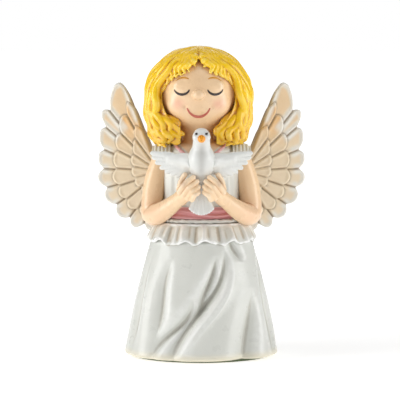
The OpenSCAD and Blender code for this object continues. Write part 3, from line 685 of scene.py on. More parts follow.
def make_sash():
    low, high = span("sash")
    thick = high[0] - SASH_INSIDE
    turn = around_turns(0.8)
    uneven = 0.4 * np.sin(2 * turn + 0.7) + 0.12 * np.sin(5 * turn)
    rows = []
    for s in np.linspace(0, 1, 60):
        twist = s * (SASH_TURNS + 0.5 * np.sin(turn + 0.4)) + uneven
        fold = 0.5 + 0.5 * np.cos(2 * np.pi * twist)
        edge = math.sin(math.pi * s) ** 0.35
        rows.append(waist_ring(turn, mix(low[2], high[2], s),
                               0.1 + (thick - 0.2) * edge * (0.5 + 0.5 * fold ** 0.8)))
    for s in (0.9, 0.1):
        rows.append(waist_ring(turn, mix(low[2], high[2], s), 0.08))
    piece(woven("sash_cloth", rows, ring_rows=True), sash_paint, "sash", "sash", hollows=(30, 0.22))


# -------------------- torso

head_low, head_high = span("head")
HEAD_R = (head_high[0] - head_low[0]) / 2
HEAD = np.array([(head_low[0] + head_high[0]) / 2, head_high[1] - HEAD_R, head_high[2] - HEAD_R])
NECK_X = HEAD[0] * 0.5  # the neckline's middle, under a head set to one side
NECK_FLOOR = head_low[2]
NECK_R = 7.4
NECK_DROP = 7.0
TRIM_R = 0.9
RUFFLE_R, RUFFLE_T = 7.9, 1.35


def neck_height(turn):
    return SHOULDER_Z - 0.3 - NECK_DROP * np.maximum(0, np.cos(turn)) ** 5


def make_bodice():
    turn = around_turns(1.0)
    rows = []
    for share, wide in curve(BODICE_SHAPE, 8):
        z = WAIST_Z + 0.1 + share * (SHOULDER_Z - WAIST_Z - 0.1)
        pleat = 0.22 * np.sin(26 * turn) * math.sin(math.pi * share) * np.cos(turn) ** 2
        sag = 0.35 * np.sin(7 * turn + 6 * share) * math.sin(math.pi * share)
        rows.append(around(turn, wide * BODICE_HALF + (pleat + sag)[:, None] - 0.25, z))
    bodice = woven("bodice_cloth", rows, smoothing=1)
    p = places(bodice)
    bare = ramp(p[:, 2] - neck_height(np.arctan2(p[:, 0] - NECK_X, -p[:, 1])), -0.2, 0.3)
    piece(bodice, dress_paint, "dress", "bodice", hollows=(16, 0.25), bare=bare)


def make_trim():
    turn = around_turns(1.5)
    z = neck_height(turn)
    trim = tube("neckline", around(turn, bodice_half(z), z) + [NECK_X, 0, 0], turn,
                TRIM_R * (1 + 0.12 * np.sin(50 * turn)))
    piece(trim, sash_paint, "sash", "neckline_trim", hollows=(8, 0.2))


def make_ruffle(side, name):
    low, high = span(name)
    inner, outer = min(abs(low[0]), abs(high[0])), max(abs(low[0]), abs(high[0]))
    arch = np.radians(np.linspace(-81, 81, 55))
    rows = []
    for u in np.linspace(0, 1, 110):
        pleat = 0.75 * abs(math.sin(math.pi * (5.2 * u + 0.3))) ** 0.55 - 0.35
        face = RUFFLE_R + pleat - 1.6 * u * u + 0.06 * np.sin(3 * arch + 5 * u)
        x = side * (mix(inner, outer, u) - 0.35 * np.cos(arch) ** 2 * u)
        z = SHOULDER_Z - 7.1 - 1.2 * u * u
        front, back = (np.stack([x, 1.1 * r * np.sin(arch), z + r * np.cos(arch)], 1)
                       for r in (face, face - RUFFLE_T))
        rows.append(np.concatenate([front, back[::-1]]))
    piece(woven(name + "_cloth", rows, smoothing=2), dress_paint, "dress", name, hollows=(24, 1.6))


# -------------------- arms and hands

arm_high = span("arm_left")[1]
ARM_R, WRIST_R, FINGER_R = 5.2, 3.4, 1.35
SHOULDER = np.array([BODICE_HALF[0] + 0.8, 0, SHOULDER_Z - 7.4])
ELBOW_X, ELBOW_Z = arm_high[0] - ARM_R - 0.1, SHOULDER[2] - 27
HAND_Y, HAND_Z = -BODICE_HALF[1] - 10, ELBOW_Z + 12
HAND_X = WRIST_R + 6.2


def arm_points():
    return [
        [SHOULDER[0] - 1, 0.3, SHOULDER[2] + 0.2, ARM_R - 0.4],
        [mix(SHOULDER[0], ELBOW_X, 0.6), -0.6, mix(SHOULDER[2], ELBOW_Z, 0.4), ARM_R + 0.1],
        [ELBOW_X - 0.1, -1.6, mix(SHOULDER[2], ELBOW_Z, 0.8), ARM_R],
        [ELBOW_X - 0.7, -4, ELBOW_Z + 0.1, ARM_R + 0.1],
        [ELBOW_X * 0.76, -12, ELBOW_Z + 2.4, 4.7],
        [HAND_X + 0.6, HAND_Y + 2.6, HAND_Z - 3, WRIST_R]]


# Each finger from the index: its root's height, and its tip's offset from the middle and its height.
FINGERS = [(0.6, 2.5, 7.6), (-1.0, 0.7, 5.6), (-2.2, 0.05, 3.0), (-2.8, 0.05, 0.5)]


def finger_points(k, root_z, tip_x, tip_z):
    root = np.array([HAND_X + 0.6 - 1.9 * k, HAND_Y - 2.4 - 0.3 * k, HAND_Z + root_z])
    tip = np.array([FINGER_R + tip_x, HAND_Y - 4.8, HAND_Z + tip_z])
    knuckle = (root + tip) / 2 + [0.5, -1.5, 0.5]
    return [[*root, FINGER_R + 0.2], [*knuckle, FINGER_R + 0.12], [*mix(knuckle, tip, 0.6), FINGER_R + 0.05],
            [*tip, FINGER_R - 0.1]]


def thumb_points():
    return [[HAND_X + 0.7, HAND_Y - 0.6, HAND_Z + 1.4, FINGER_R + 0.3],
            [HAND_X, HAND_Y - 1.8, HAND_Z + 5.4, FINGER_R + 0.05],
            [HAND_X - 1.8, HAND_Y - 2.4, HAND_Z + 8.6, FINGER_R - 0.1]]


def make_arm(side, name):
    clay = clay_for(name, 2.5, 0.3)

    def add(points, soft):
        clay.line(np.asarray(points) * [side, 1, 1, 1], soft)

    add(curve(arm_points(), 8), 0)
    add([[HAND_X, HAND_Y + 2.1, HAND_Z - 2.6, WRIST_R + 0.1],
         [HAND_X - 2.3, HAND_Y - 0.6, HAND_Z - 0.5, WRIST_R + 0.2]], 1.2)
    for k, finger in enumerate(FINGERS):
        add(curve(finger_points(k, *finger), 4), 0.06)
    add(curve(thumb_points(), 5), 0.5)
    x = clay.everywhere()[0]
    clay.field = np.maximum(clay.field, (0.05 - side * x).astype(np.float32))
    # The crease inside the elbow
    clay.ball([side * (ELBOW_X - 5.4), -7.6, ELBOW_Z + 7.6], [1.6, 2.4, 1.2], 1.6, cut=True)
    arm = clay.mesh(name + "_skin")
    x, y, z = places(arm).T
    inside = ramp(-side * normals(arm)[:, 0], 0.1, 0.9) * ramp(z, ELBOW_Z, ELBOW_Z + 12)
    elbow = bell(np.hypot(z - ELBOW_Z, np.abs(x) - ELBOW_X) / math.sqrt(60))
    under_thumb = bell(np.hypot((np.abs(x) - 8.4) / 1.5, (z - HAND_Z - 4.6) / 1.8)) * (y < HAND_Y + 1)
    piece(arm, skin_paint, "skin", name, hollows=(40, 0.35), shade=0.5 * inside, blush=0.35 * elbow,
          shadow=0.55 * under_thumb)


# -------------------- head and face

EYE_X, EYE_Z = 7.9, 2.1
EYE_WIDE, EYE_DEEP = 3.75, 3.2
MOUTH_Z, MOUTH_WIDE = -6.4, 5.9


def on_sphere(x, z, out=0.0):
    r = HEAD_R + out
    return HEAD + np.array([x, -math.sqrt(max(r * r - x * x - z * z, 0.01)), z])


def make_head():
    clay = Clay([HEAD[0] - 21, HEAD[1] - 24, NECK_FLOOR - 1.5], HEAD + [21, 20.5, 20.5], 0.34)
    clay.ball(HEAD, HEAD_R)
    clay.line([[HEAD[0], 0.2, NECK_FLOOR + NECK_R + 0.1, NECK_R], [HEAD[0], 0, HEAD[2] - 12, NECK_R]], 3.0,
              margin=3)
    clay.ball([NECK_X, -0.4, SHOULDER_Z - 2.6], [11.6, 10.4, 4.6], 2.6, margin=4)
    z = clay.everywhere()[2]
    clay.field = np.maximum(clay.field, (NECK_FLOOR + 0.05 - z).astype(np.float32))
    for side in (-1, 1):  # cheek, eyelid and corner of the mouth
        clay.ball(on_sphere(side * 9.0, -4.6, -4.2), [5.2, 4.8, 5.0], 3.0)
        clay.ball(on_sphere(side * EYE_X, EYE_Z + 1.5, -2.6), [4.5, 3.1, 3.6], 1.4)
        clay.ball(on_sphere(side * (MOUTH_WIDE + 0.5), MOUTH_Z + 0.3, 0.5), [0.95, 0.9, 0.9], 0.8, cut=True)
    clay.ball(on_sphere(0, -14.2, -3.2), [4.6, 3.8, 3.4], 3.0)  # chin
    clay.ball(on_sphere(0, 0.1, 0.6), [2.95, 2.9, 2.55], 0.4)  # nose
    clay.ball(on_sphere(0, MOUTH_Z - 3.4, 0.75), [4.4, 0.9, 1.0], 1.4, cut=True)  # under the lip
    head = clay.mesh("head_skin", 3)
    x, y, z = (places(head) - HEAD).T
    front = y < 0
    cheek = sum(bell(np.hypot((x - side * 9.6) / 3.1, (z + 4.4) / 2.6)) for side in (-1, 1))
    brim = 19.0 - 0.62 * np.abs(x + 0.4) ** 1.02  # the edge of the hair's shadow on the brow
    under = ramp(z - brim, -5.5, 0.5) * front
    neck = ramp(-z, 12.5, 16.5) * (1 - ramp(-z, 22, 27))
    middle = bell(x / 5.5) * ramp(z, -13, -3) * front * 0.5
    piece(head, skin_paint, "skin", "head", hollows=(60, 1.3), blush=cheek * front,
          shadow=np.clip(under + 0.2 * neck, 0, 1), shade=np.clip(middle + 0.5 * neck, 0, 1))
    return head


def on_surface(tree, x, z):
    """The point of the face at an offset x, z from the head's middle, and its normal."""
    start = Vector(((HEAD[0] + x) * MM, -0.08, (HEAD[2] + z) * MM))
    hit, normal, _, _ = tree.ray_cast(start, Vector((0, 1, 0)))
    return np.array(hit) / MM, np.array(normal)


def stroke(tree, points, radius, sink=0.1):
    """A brush stroke of raised paint that follows the face, thin at both ends."""
    line = curve(points, 10)
    found = [on_surface(tree, *q) for q in line]
    along = np.gradient(np.array([centre for centre, _ in found]), axis=0)
    b = 2 * np.pi * np.arange(10)[:, None] / 10
    rows = []
    for (centre, normal), ahead, share in zip(found, along, np.linspace(0, 1, len(line))):
        across = unit(np.cross(normal, unit(ahead)))
        r = radius * (0.3 + 0.7 * math.sin(math.pi * min(max(share, 0.02), 0.98)) ** 0.6)
        rows.append(centre + normal * (0.32 * r * np.sin(b) + sink) + across * (r * np.cos(b)))
    return rows


def painted(name, all_rows, material, slot, node):
    """Several strokes as one piece."""
    points, quads, fans = [], [], []
    for rows in all_rows:
        p, q, f = weave(rows, first=sum(map(len, points)))
        points.append(p)
        quads.append(q)
        fans.append(f)
    thing = build(name, np.concatenate(points), [np.concatenate(quads), np.concatenate(fans)])
    # upper marks each stroke's upward-facing side, which the lip paint lightens as a painted highlight.
    piece(thing, material, slot, node, hollows=(3, 0.1), upper=ramp(normals(thing)[:, 2], 0.0, 0.5))


def make_face(head):
    tree = BVHTree.FromObject(head, bpy.context.evaluated_depsgraph_get())
    lids, brows = [], []
    for side in (-1, 1):
        arc = [[side * EYE_X + EYE_WIDE * math.cos(a), EYE_Z + EYE_DEEP * (math.sin(a) + 0.4)]
               for a in np.radians([-164, -140, -115, -90, -65, -40, -16])]
        lids.append(stroke(tree, arc, 0.6))
        brow = [[side * (7.7 + 3.1 * u), 8 - 1.0 * u * u - 0.5 * u] for u in (-1, -0.5, 0, 0.5, 1)]
        brows.append(stroke(tree, brow, 0.5))
    painted("eyelid_lines_ink", lids, lid_paint, "eye_paint", "eyelid_lines")
    painted("brow_lines_gold", brows, brow_paint, "brow_paint", "brow_lines")
    smile = [[MOUTH_WIDE * math.cos(a), MOUTH_Z + 6.9 * (math.sin(a) + 0.42)]
             for a in np.radians([-157, -135, -112, -90, -68, -45, -23])]
    painted("smile_line_red", [stroke(tree, smile, 0.72, 0.12)], lip_paint, "lip_paint", "smile_line")


# -------------------- hair

crown_high = span("hair_crown")[1]
HAIR_HALF = np.array([26.2, 21.5, 26.2])
HAIR = np.array([HEAD[0], 0.6, crown_high[2] - HAIR_HALF[2] - 0.1])
HAIR_TIP = span("hair_side_left")[0][2]
HAIR_FALL = 0.62  # how fast the hair narrows below its middle
SWAY_R = 26.0  # the radius that turns a sideways sway into an angle
LOCKS = 17
# Locks in front of the ears: turns at their top and foot, rise of the tip, and lift.
EAR_LOCKS = [(66, 30, -49, -5.6), (61, 34, -54, -3.9), (58, 41, -50, -2.2), (64, 50, -55, -1.3),
             (72, 60, -51, -1.0)]
# Where each lock of the fringe ends on the face, off the head's middle.
FRINGE_TIPS = [(3.6, 13.6), (6.6, 10.6), (9.0, 9.6), (11.4, 8.6), (13.4, 7.0), (15.4, 4.8), (17.0, 1.4)]


def hair_place(direction, lift):
    """A point of the hair's outer surface. Below its middle the hair falls almost straight."""
    d = unit(direction)
    flat = math.hypot(d[0], d[1])
    if d[2] < 0 and flat > 1e-6:
        wide = math.cos(HAIR_FALL * math.asin(max(-1, d[2])))
        d = np.array([d[0] / flat * wide, d[1] / flat * wide, d[2]])
    return HAIR + d * (HAIR_HALF + lift)


def heading(turn, rise):
    t, r = math.radians(turn), math.radians(rise)
    return np.array([math.cos(r) * math.sin(t), -math.cos(r) * math.cos(t), math.sin(r)])


def lock(knots, radii, wave, turns, phase, lift):
    """A lock of hair over the head through headings, waving more and more towards its tip."""
    path = curve(knots, 9)
    share = np.linspace(0, 1, len(path))
    radius = np.interp(share, np.linspace(0, 1, len(radii)), radii)
    out = []
    for i, (d, s, r) in enumerate(zip(path, share, radius)):
        ahead = unit(path[min(i + 1, len(path) - 1)] - path[max(i - 1, 0)])
        across = np.cross(unit(d), ahead)
        angle = 2 * math.pi * turns * s + phase
        sway, rise = wave * s ** 0.8 * math.sin(angle), 0.35 * wave * s * math.cos(angle)
        out.append([*hair_place(unit(d) + across * sway / SWAY_R, lift + rise), r])
    return out


def heading_turned(d, by):
    """A heading turned by a small angle round the vertical."""
    d = unit(d)
    c, s = math.cos(by), math.sin(by)
    return np.array([d[0] * c - d[1] * s, d[0] * s + d[1] * c, d[2]])


def hair_cap(x, y, z):
    """Distances to the smooth cap of hair that lies under the locks, open at the face."""
    px, py, pz = x - HAIR[0], y - HAIR[1], z - HAIR[2]
    inner = HAIR_HALF - 3.2
    height = np.clip(pz / inner[2], -1, 1)
    wide = np.where(pz > 0, np.sqrt(1 - height ** 2), np.cos(HAIR_FALL * np.arcsin(height)))
    flat = (px / inner[0]) ** 2 + (py / inner[1]) ** 2
    cap = np.where(pz > 0, (np.sqrt(flat + (pz / inner[2]) ** 2) - 1) * 22, (np.sqrt(flat) - wide) * 20)
    cap = np.maximum(cap, HAIR_TIP + 0.7 - z + 0.7 * np.cos(0.9 * px) * np.cos(0.7 * py))
    hx, hz = x - HEAD[0], z - HEAD[2]
    opening = np.minimum(np.hypot(hx, hz + 0.5) - 17.5, np.maximum(np.abs(hx) - 8.6, hz))
    return np.maximum(cap, -np.maximum(opening, y - (HEAD[1] - 2)))


def add_long_locks(clay, side, seed):
    """The long locks from the parting to the tips, with a thin one between each two."""
    for k in range(LOCKS):
        q = k / (LOCKS - 1)
        phi = math.radians(58 + 118 * q)
        turn = side * (57 + 118 * q)
        start = np.array([side * 0.035, -math.cos(phi), math.sin(phi)])
        high = heading(turn * mix(0.74, 1.0, q), mix(42, 38, q))
        knots = [start, unit(start + 0.45 * high), high, heading(turn * mix(0.98, 1, q), 8),
                 heading(turn, -20), heading(turn + side * 2, -42),
                 heading(turn - side * 2, -56 + 4 * math.sin(5 * k))]
        phase = seed + 0.5 * k + 0.6 * math.sin(2.3 * k)
        r = 1.8 + 0.2 * math.sin(3.1 * k + seed)
        lift = -1.55 + 0.35 * math.sin(4.7 * k)
        clay.line(lock(knots, [1.0, 1.4, r, r, r + 0.1, r, 0.8], 2.1, 5.2, phase, lift), 0.08)
        if k < LOCKS - 1:
            thin = [heading_turned(a, side * 0.068) for a in knots]
            clay.line(lock(thin, [0.5, 0.7, 0.75, 0.8, 0.8, 0.75, 0.3], 2.3, 5.4, phase + 0.4, -1.15), 0.05)


def add_ear_locks(clay, side, seed):
    """Locks that fall in front of the ears and curl in under the cheeks."""
    for k, (top, foot, tip, lift) in enumerate(EAR_LOCKS):
        path = [(top - 6, 28), (top, 8), (top + 1, -12), (foot + 7, -30), (foot + 2, -44),
                (foot - 1, tip - 6)]
        knots = [heading(side * turn, rise) for turn, rise in path]
        clay.line(lock(knots, [1.1, 1.8, 1.9, 1.9, 1.7, 0.6], 1.5, 3.2, seed + 0.8 * k, lift), 0.08)


def add_fringe(clay, side, seed):
    """The fringe, swept from the parting to the temple."""
    for k, tip in enumerate(FRINGE_TIPS):
        phi = math.radians(57 + 5 * k)
        start = HAIR + np.array([side * 0.03, -math.cos(phi), math.sin(phi)]) * (HAIR_HALF - 1.6)
        end = on_sphere(side * tip[0], tip[1], 1.0)
        middle = mix(start, end, 0.5)
        out = unit(middle - HAIR)
        inside = np.linalg.norm((middle - HAIR) / (HAIR_HALF - 1.8))
        middle = mix(middle, HAIR + (middle - HAIR) / inside, 0.8) + np.array([side * 0.6, 0, 0.8])
        path = curve([start, mix(start, middle, 0.5) + out * 0.7, middle, mix(middle, end, 0.55) + out * 0.9,
                      end], 6)
        share = np.linspace(0, 1, len(path))
        across = unit(np.cross(out, end - start))
        r = np.interp(share, [0, 0.3, 0.75, 1], [1.3, 1.75, 1.6, 0.6])

        def swayed(wave, turns, phase):
            return path + (wave * share ** 0.8 * np.sin(2 * np.pi * turns * share + phase))[:, None] * across

        phase = seed + 0.7 * k
        clay.line(np.column_stack([swayed(1.0, 2.6, phase), r]), 0.08)
        if k < len(FRINGE_TIPS) - 1:
            thin = swayed(1.1, 2.8, phase + 0.8) + out * 0.35 + across * 1.5
            clay.line(np.column_stack([thin, 0.42 * r]), 0.05)


def make_hair():
    clay = Clay(HAIR - [30.5, 25.5, 25.5], HAIR + [30.5, 25.5, 29], 0.36)
    clay.field = np.minimum(clay.field, hair_cap(*clay.everywhere())).astype(np.float32)
    for side in (-1, 1):
        seed = 0.7 if side > 0 else 2.1
        for add in (add_long_locks, add_ear_locks, add_fringe):
            add(clay, side, seed)
    clay.ball(HEAD, HEAD_R - 0.25, cut=True)
    clay.line([[HEAD[0], 0, HEAD[2] - down, NECK_R - 0.2] for down in (8, 30)], cut=True)
    hair = clay.mesh("hair", 1)
    p = places(hair)
    low = 1 - ramp(p[:, 2], HAIR_TIP, HAIR_TIP + 26)
    inner = 1 - ramp(np.linalg.norm((p - HAIR) / HAIR_HALF, axis=1), 0.86, 0.97)
    piece(hair, hair_paint, "hair", "hair_crown", "hair_back", "hair_side_left", "hair_side_right",
          "fringe_left", "fringe_right", hollows=(22, 0.3), amber=np.clip(0.45 * low + 0.6 * inner, 0, 1))


# -------------------- dove

DOVE_Y, DOVE_LOW = HAND_Y - 1.5, HAND_Z + 6
DOVE_D, DOVE_NECK = 14.4, 8.2
DOVE_HEAD = np.array([0, DOVE_Y - 3.6, DOVE_LOW + 20.8])
DOVE_TOP = DOVE_LOW + 12.2  # the wings' leading edge
# The dove's long wing feathers: how far out each one ends, how far above the leading edge, and its radius.
QUILLS = [(23.2, 0.2, 1.15), (22.4, -2.0, 1.15), (20.9, -4.3, 1.15), (18.8, -6.7, 1.1), (16.4, -8.6, 1.05),
          (13.9, -9.8, 1.0), (11.4, -10.3, 1.0), (9.0, -9.9, 0.95)]
COVERTS = 5
TAIL_FEATHERS, TAIL_SPREAD, TAIL_LENGTH = 11, 21.0, 16.6


def dove_points():
    """The dove's middle line from tail to head, each point with its radius."""
    line = [(4.2, 1.5, DOVE_D * 0.24), (2.2, 5.2, DOVE_D * 0.39), (0.2, 9.6, DOVE_D * 0.45),
            (-1.6, 14.6, DOVE_NECK * 0.56), (-3, 18.4, DOVE_NECK * 0.49)]
    return [[0, DOVE_Y + y, DOVE_LOW + z, r] for y, z, r in line] + [[*DOVE_HEAD, DOVE_NECK / 2]]


def make_dove_body():
    clay = clay_for("dove_body", 2, 0.26)
    clay.line(curve(dove_points(), 8), 0)
    for side in (-1, 1):  # cheek and eye socket
        clay.ball(DOVE_HEAD + [side * 2.1, -1.4, -0.4], [1.9, 2.0, 1.7], 1.2)
        clay.ball(DOVE_HEAD + [side * 2.5, -3.3, 1.45], 0.75, 0.5, cut=True)
    body = clay.mesh("dove_body_feathers", 3)
    x, _, z = places(body).T
    height = ramp(z, DOVE_LOW, DOVE_LOW + 5) * (1 - ramp(z, DOVE_LOW + 15, DOVE_LOW + 19))
    # Painted shade: a soft grey stripe down the middle of the dove's front, where the two side lamps leave it
    # darker.
    piece(body, dove_paint, "dove", "dove_body", hollows=(40, 0.4),
          breast=bell(x / 1.7) * height * (normals(body)[:, 1] < 0))


def make_dove_wing(side, name):
    clay = clay_for(name, 2.2, 0.24)

    def add(points, steps, soft, flat=(1, 1, 1)):
        """A bent feather through points of x, height, forward offset and radius."""
        line = [[side * x, DOVE_Y + 1.3 + 0.25 * (x - 4.2) - out, z, r] for x, z, out, r in points]
        clay.line(curve(line, steps), soft, flat=flat)

    top = DOVE_TOP
    for k, (x, drop, r) in enumerate(QUILLS):
        share = k / (len(QUILLS) - 1)
        start = [mix(6.4, 5.6, share), top - 2.6 - 4.4 * share]
        bend = [mix(start[0], x, 0.55), mix(start[1], top + drop, 0.55) + 0.4 * (1 - share)]
        add([(*start, 0, 2.3), (*bend, 0.25, 1.75), (x, top + drop, -0.1 * k, r)], 6, 0.12, (1, 0.55, 1))
    for k in range(COVERTS):  # short feathers over the roots of the long ones
        share = k / (COVERTS - 1)
        x, z = mix(14.4, 8.2, share), top - mix(1.8, 7.4, share)
        add([(6, top - 1.4 - 3 * share, 0.5, 1.9), (mix(6, x, 0.6), mix(top - 1.6, z, 0.6) + 0.6, 0.9, 1.7),
             (x, z, 0.7, 1.2)], 5, 0.15, (1, 0.62, 1))
    add([(2.6, top - 4.2, 1.4, 3.6), (6.6, top - 3.4, 0.8, 3.1), (10, top - 3.2, 0.4, 2.4),
         (14.5, top - 2.6, 0.2, 1.5)], 6, 1.6)
    add([(4.6, top - 4.6, 0, 2.8), (9, top - 2.2, 0.3, 2.0), (15, top - 1.0, 0.2, 1.4),
         (20.5, top - 0.2, 0, 0.9)], 6, 0.5, (1, 0.8, 1))
    piece(clay.mesh(name + "_feathers"), dove_paint, "dove", name, hollows=(18, 0.24))


def make_dove_tail():
    clay = clay_for("dove_tail", 2, 0.22)
    top = np.array([0, DOVE_Y + 3.4, DOVE_LOW + 0.4])
    for k in range(TAIL_FEATHERS):
        off = 2 * k / (TAIL_FEATHERS - 1) - 1
        a, length = math.radians(TAIL_SPREAD * off), TAIL_LENGTH - 1.6 * off * off
        end = top + [length * math.sin(a), -1.1 + 0.25 * (k % 2), -length * math.cos(a)]
        clay.line(curve([[*top, 0.8], [*(mix(top, end, 0.5) + [0, -0.35, 0]), 0.55], [*end, 0.72]], 5))
    clay.line([[*(top + [0, 0, 0.4]), 2.0], [*(top + [0, -0.5, -5]), 1.2]], 0.5, flat=(1, 0.6, 1))
    piece(clay.mesh("dove_tail_feathers"), dove_paint, "dove", "dove_tail", hollows=(14, 0.2))


def make_dove_beak():
    clay = clay_for("dove_beak", 1.2, 0.1)
    root = DOVE_HEAD + [0, -DOVE_NECK / 2 + 0.9, -0.8]
    clay.line([[*root, 1.95], [*(root + [0, -1.0, -0.15]), 1.75], [*(root + [0, -1.8, -0.45]), 1.1]])
    clay.ball(root + [0, -1.2, 0.95], [0.95, 1.0, 0.75], 0.3)
    for side in (-1, 1):  # nostrils
        clay.ball(root + [side * 0.55, -1.75, 0.95], [0.26, 0.4, 0.26], 0.15, cut=True)
    mouth = [(-1.6, -1.2, -0.5), (0, -2.7, -0.62), (1.6, -1.2, -0.5)]
    clay.line([[*(root + p), 0.16] for p in mouth], 0.15, cut=True)
    piece(clay.mesh("dove_beak_horn"), beak_paint, "beak_paint", "dove_beak", hollows=(16, 0.1))


def make_dove_eyes():
    clay = clay_for("dove_eyes", 1, 0.08)
    for side in (-1, 1):
        eye = DOVE_HEAD + [side * 2.38, -3.15, 1.45]
        clay.ball(eye, [0.62, 0.55, 0.6])
        corner, end = eye + [side * 0.35, 0.05, 0.3], eye + [side * 0.75, 0.45, 0.42]
        clay.line([[*corner, 0.2], [*end, 0.12]], 0.15)
    piece(clay.mesh("dove_eyes_ink", 1), dark_paint, "eye_paint", "dove_eyes", hollows=(6, 0.08))


# -------------------- wings

WING_ROOT = np.array([(HIGH[0] - LOW[0]) / 5.3, 13.4, SHOULDER_Z - 14.5])
SWEEP = math.radians(14)
REACH = (HIGH[0] - WING_ROOT[0]) / math.cos(SWEEP)
WING_T = 2.6
CURL = 0.09  # degrees that feathers bend down per millimetre
# Rows of feathers, from the tips inwards: the turns at which one feather meets the next, how far each one
# reaches from the root, and the height of the row's front face.
ROWS = [
    ((65.5, 47, 36, 18.5, 1, -17.5, -36.5, -55, -71, -86),
     (48.2, 41.4, 35.8, 32.9, 32.9, 32.0, 31.6, 31.6, 30), 0.0),
    ((66.5, 57.5, 42, 24.5, 3, -19.5, -39, -58, -76), (37.2, 32.2, 27.4, 24.8, 24.9, 24.4, 24.6, 23.5), 1.1),
    ((67, 52, 32, 10, -14, -38, -64), (25, 18.2, 15.8, 14.6, 14.2, 14), 2.2)]


def wing_row(u, v, row):
    """The row's outline distance, negative inside, the relief of its feathers, and how far each point is
    from the side of its feather."""
    borders, reaches, _ = row
    borders = np.array(borders, float)
    rho = np.hypot(u, v)
    turn = np.degrees(np.arctan2(v, u)) - CURL * rho + 2.6
    i = np.clip(np.searchsorted(-borders, -turn) - 1, 0, len(reaches) - 1)
    half = (borders[i] - borders[i + 1]) / 2
    across = (turn - borders[i] + half) / half
    longest = i == 0
    lean = 0.5 if row is ROWS[0] else 0.0  # the longest feather ends off its middle
    skew = np.where(longest, lean, 0.0)
    off = np.where(across > skew, (across - skew) / (1 - skew), (across - skew) / (1 + skew))
    scallop = np.where(longest & (off > 0), 0.2, 0.105) * np.minimum(np.abs(off), 1.2) ** 2.1
    middles = (borders[:-1] + borders[1:]) / 2
    middles[0] += lean * (borders[0] - borders[1]) / 4
    tip = np.interp(-turn, -middles, reaches) * (1 - scallop)
    side = rho * np.radians(half) * (1 - np.abs(across))
    outline = np.maximum(rho - tip, -side)
    edge = np.minimum(tip - rho, side)
    relief = (0.42 * bell((edge - 0.95) / 0.55) - 0.75 * bell(np.maximum(edge, 0) / 0.38)
              + 0.3 * np.clip(1 - off ** 2, 0, 1) + 0.3 - 0.16 * np.clip(across, -1, 1))
    return outline, relief * ramp(rho, 2, 7), side


def wing_clay():
    """The wing in its own frame: u outwards, v up and w forwards from its root."""
    clay = Clay([-13.5, -36.0, -6.5], [REACH + 3, 50.0, 6.5], 0.34)
    u, v, w = clay.everywhere()
    field = clay.field
    for row in ROWS:
        outline, relief, _ = wing_row(u[:, :, 0], v[:, :, 0], row)
        lift, relief = row[2], relief[:, :, None]
        slab = np.maximum(w - (lift + relief), -(WING_T + 0.5 * lift) - 0.8 * relief - w)
        field = np.minimum(field, np.maximum(slab, outline[:, :, None]))
    clay.field = field.astype(np.float32)
    clay.line([[-9.5, -4.8, 0.2, 3.8], [3.5, -2.5, -1.0, 3.4]], 1.2, flat=(1, 1, 0.85))
    clay.line([[-9.5, 4.8, 0.2, 3.8], [3.5, 4.5, -1.0, 3.4]], 1.2, flat=(1, 1, 0.85))
    clay.line([[-9.5, -4.5, 0.2, 4.0], [-9.5, 5.5, 0.2, 4.0]], 1.2)
    clay.soften()
    return clay


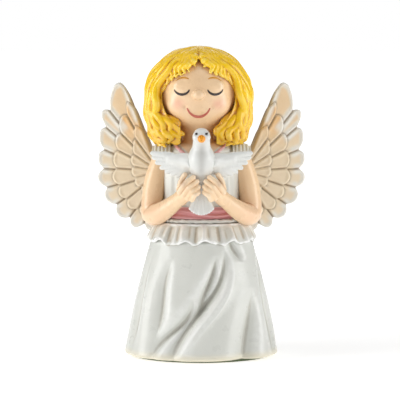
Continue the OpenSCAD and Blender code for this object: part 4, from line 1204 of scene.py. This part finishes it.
def make_wing(side, name):
    swept, off = math.cos(SWEEP), math.sin(SWEEP)

    def place(q):
        u, v, w = q.T
        return np.stack([side * (WING_ROOT[0] + u * swept + w * off), WING_ROOT[1] + u * off - w * swept,
                         WING_ROOT[2] + v], 1)

    wing = wing_clay().mesh(name + "_feathers", 2, place)
    x, y, z = (places(wing) * [side, 1, 1] - WING_ROOT).T
    u = x * swept + y * off
    rho = np.hypot(u, z)
    # groove: dark lining along the sides of each feather, and painted shade just outside each inner row, at
    # the foot of its step.
    groove = np.zeros(len(z))
    for row in ROWS:
        outline, _, feather_side = wing_row(u, z, row)
        beyond = 0 if row is ROWS[0] else bell(outline / 0.75)
        groove = np.where(outline < 0, bell(feather_side / 0.5), np.maximum(groove, beyond))
    rim = ramp(wing_row(u, z, ROWS[0])[0], -3.6, -1.4)
    upper = ramp(z, 6, 26)
    second = ramp(-wing_row(u, z, ROWS[1])[0], -0.5, 3)
    piece(wing, wing_paint, "wings", name, hollows=(14, 0.3), groove=groove * ramp(rho, 6, 20),
          rim=rim * ramp(rho / REACH, 0.74, 0.86),
          warm=np.clip(upper * second * 0.9 + 0.35 * upper * (1 - rim), 0, 1))


# -------------------- all the pieces

HANDS = ((1, "left"), (-1, "right"))

make_skirt()
make_peplum()
make_piping()
make_sash()
make_bodice()
make_trim()
for side, hand in HANDS:
    make_ruffle(side, "shoulder_ruffle_" + hand)
for side, hand in HANDS:
    make_arm(side, "arm_" + hand)
make_face(make_head())
make_hair()
make_dove_body()
for side, hand in HANDS:
    make_dove_wing(side, "dove_wing_" + hand)
make_dove_tail()
make_dove_beak()
make_dove_eyes()
for side, hand in HANDS:
    make_wing(side, "wing_" + hand)


# -------------------- floor

FLOOR_Z = LOW[2] - 0.02
FLOOR_SIDES = 96
FLOOR_RINGS = (100.0, 400.0, 1500.0, 9000.0)


def floor_material():
    """Near white, and glowing more and more away from the object, so that it runs into the backdrop."""
    n = Nodes("pale_floor")
    colour = n.blend(n.spread(n.noise(3), 0.3, 0.7), srgb(248, 248, 248), srgb(250, 250, 250))
    n.set("Base Color", colour)
    n.set("Roughness", n.spread(n.noise(40), 0.3, 0.7, 0.75, 0.85))
    n.set("Emission Color", WHITE)
    reach = n.add("ShaderNodeVectorMath", operation="LENGTH")
    n.feed(reach.inputs[0], n.place)
    n.set("Emission Strength", n.spread(reach.outputs["Value"], 0.1, 0.7, 0.42, 1.0))
    return n.material


def make_floor():
    k = np.arange(FLOOR_SIDES)
    turn, after = 2 * np.pi * k / FLOOR_SIDES, (k + 1) % FLOOR_SIDES
    rings = [np.stack([r * np.cos(turn), r * np.sin(turn), 0 * turn + FLOOR_Z], 1) for r in FLOOR_RINGS]
    quads = [np.stack([a + k, a + FLOOR_SIDES + k, a + FLOOR_SIDES + after, a + after], 1)
             for a in 1 + FLOOR_SIDES * np.arange(len(FLOOR_RINGS) - 1)]
    fan = np.stack([0 * k, 1 + k, 1 + after], 1)
    floor = build("floor", np.concatenate([[[0, 0, FLOOR_Z]], *rings]), [np.concatenate(quads), fan])
    floor.data.materials.append(floor_material())


make_floor()
bpy.context.view_layer.update()
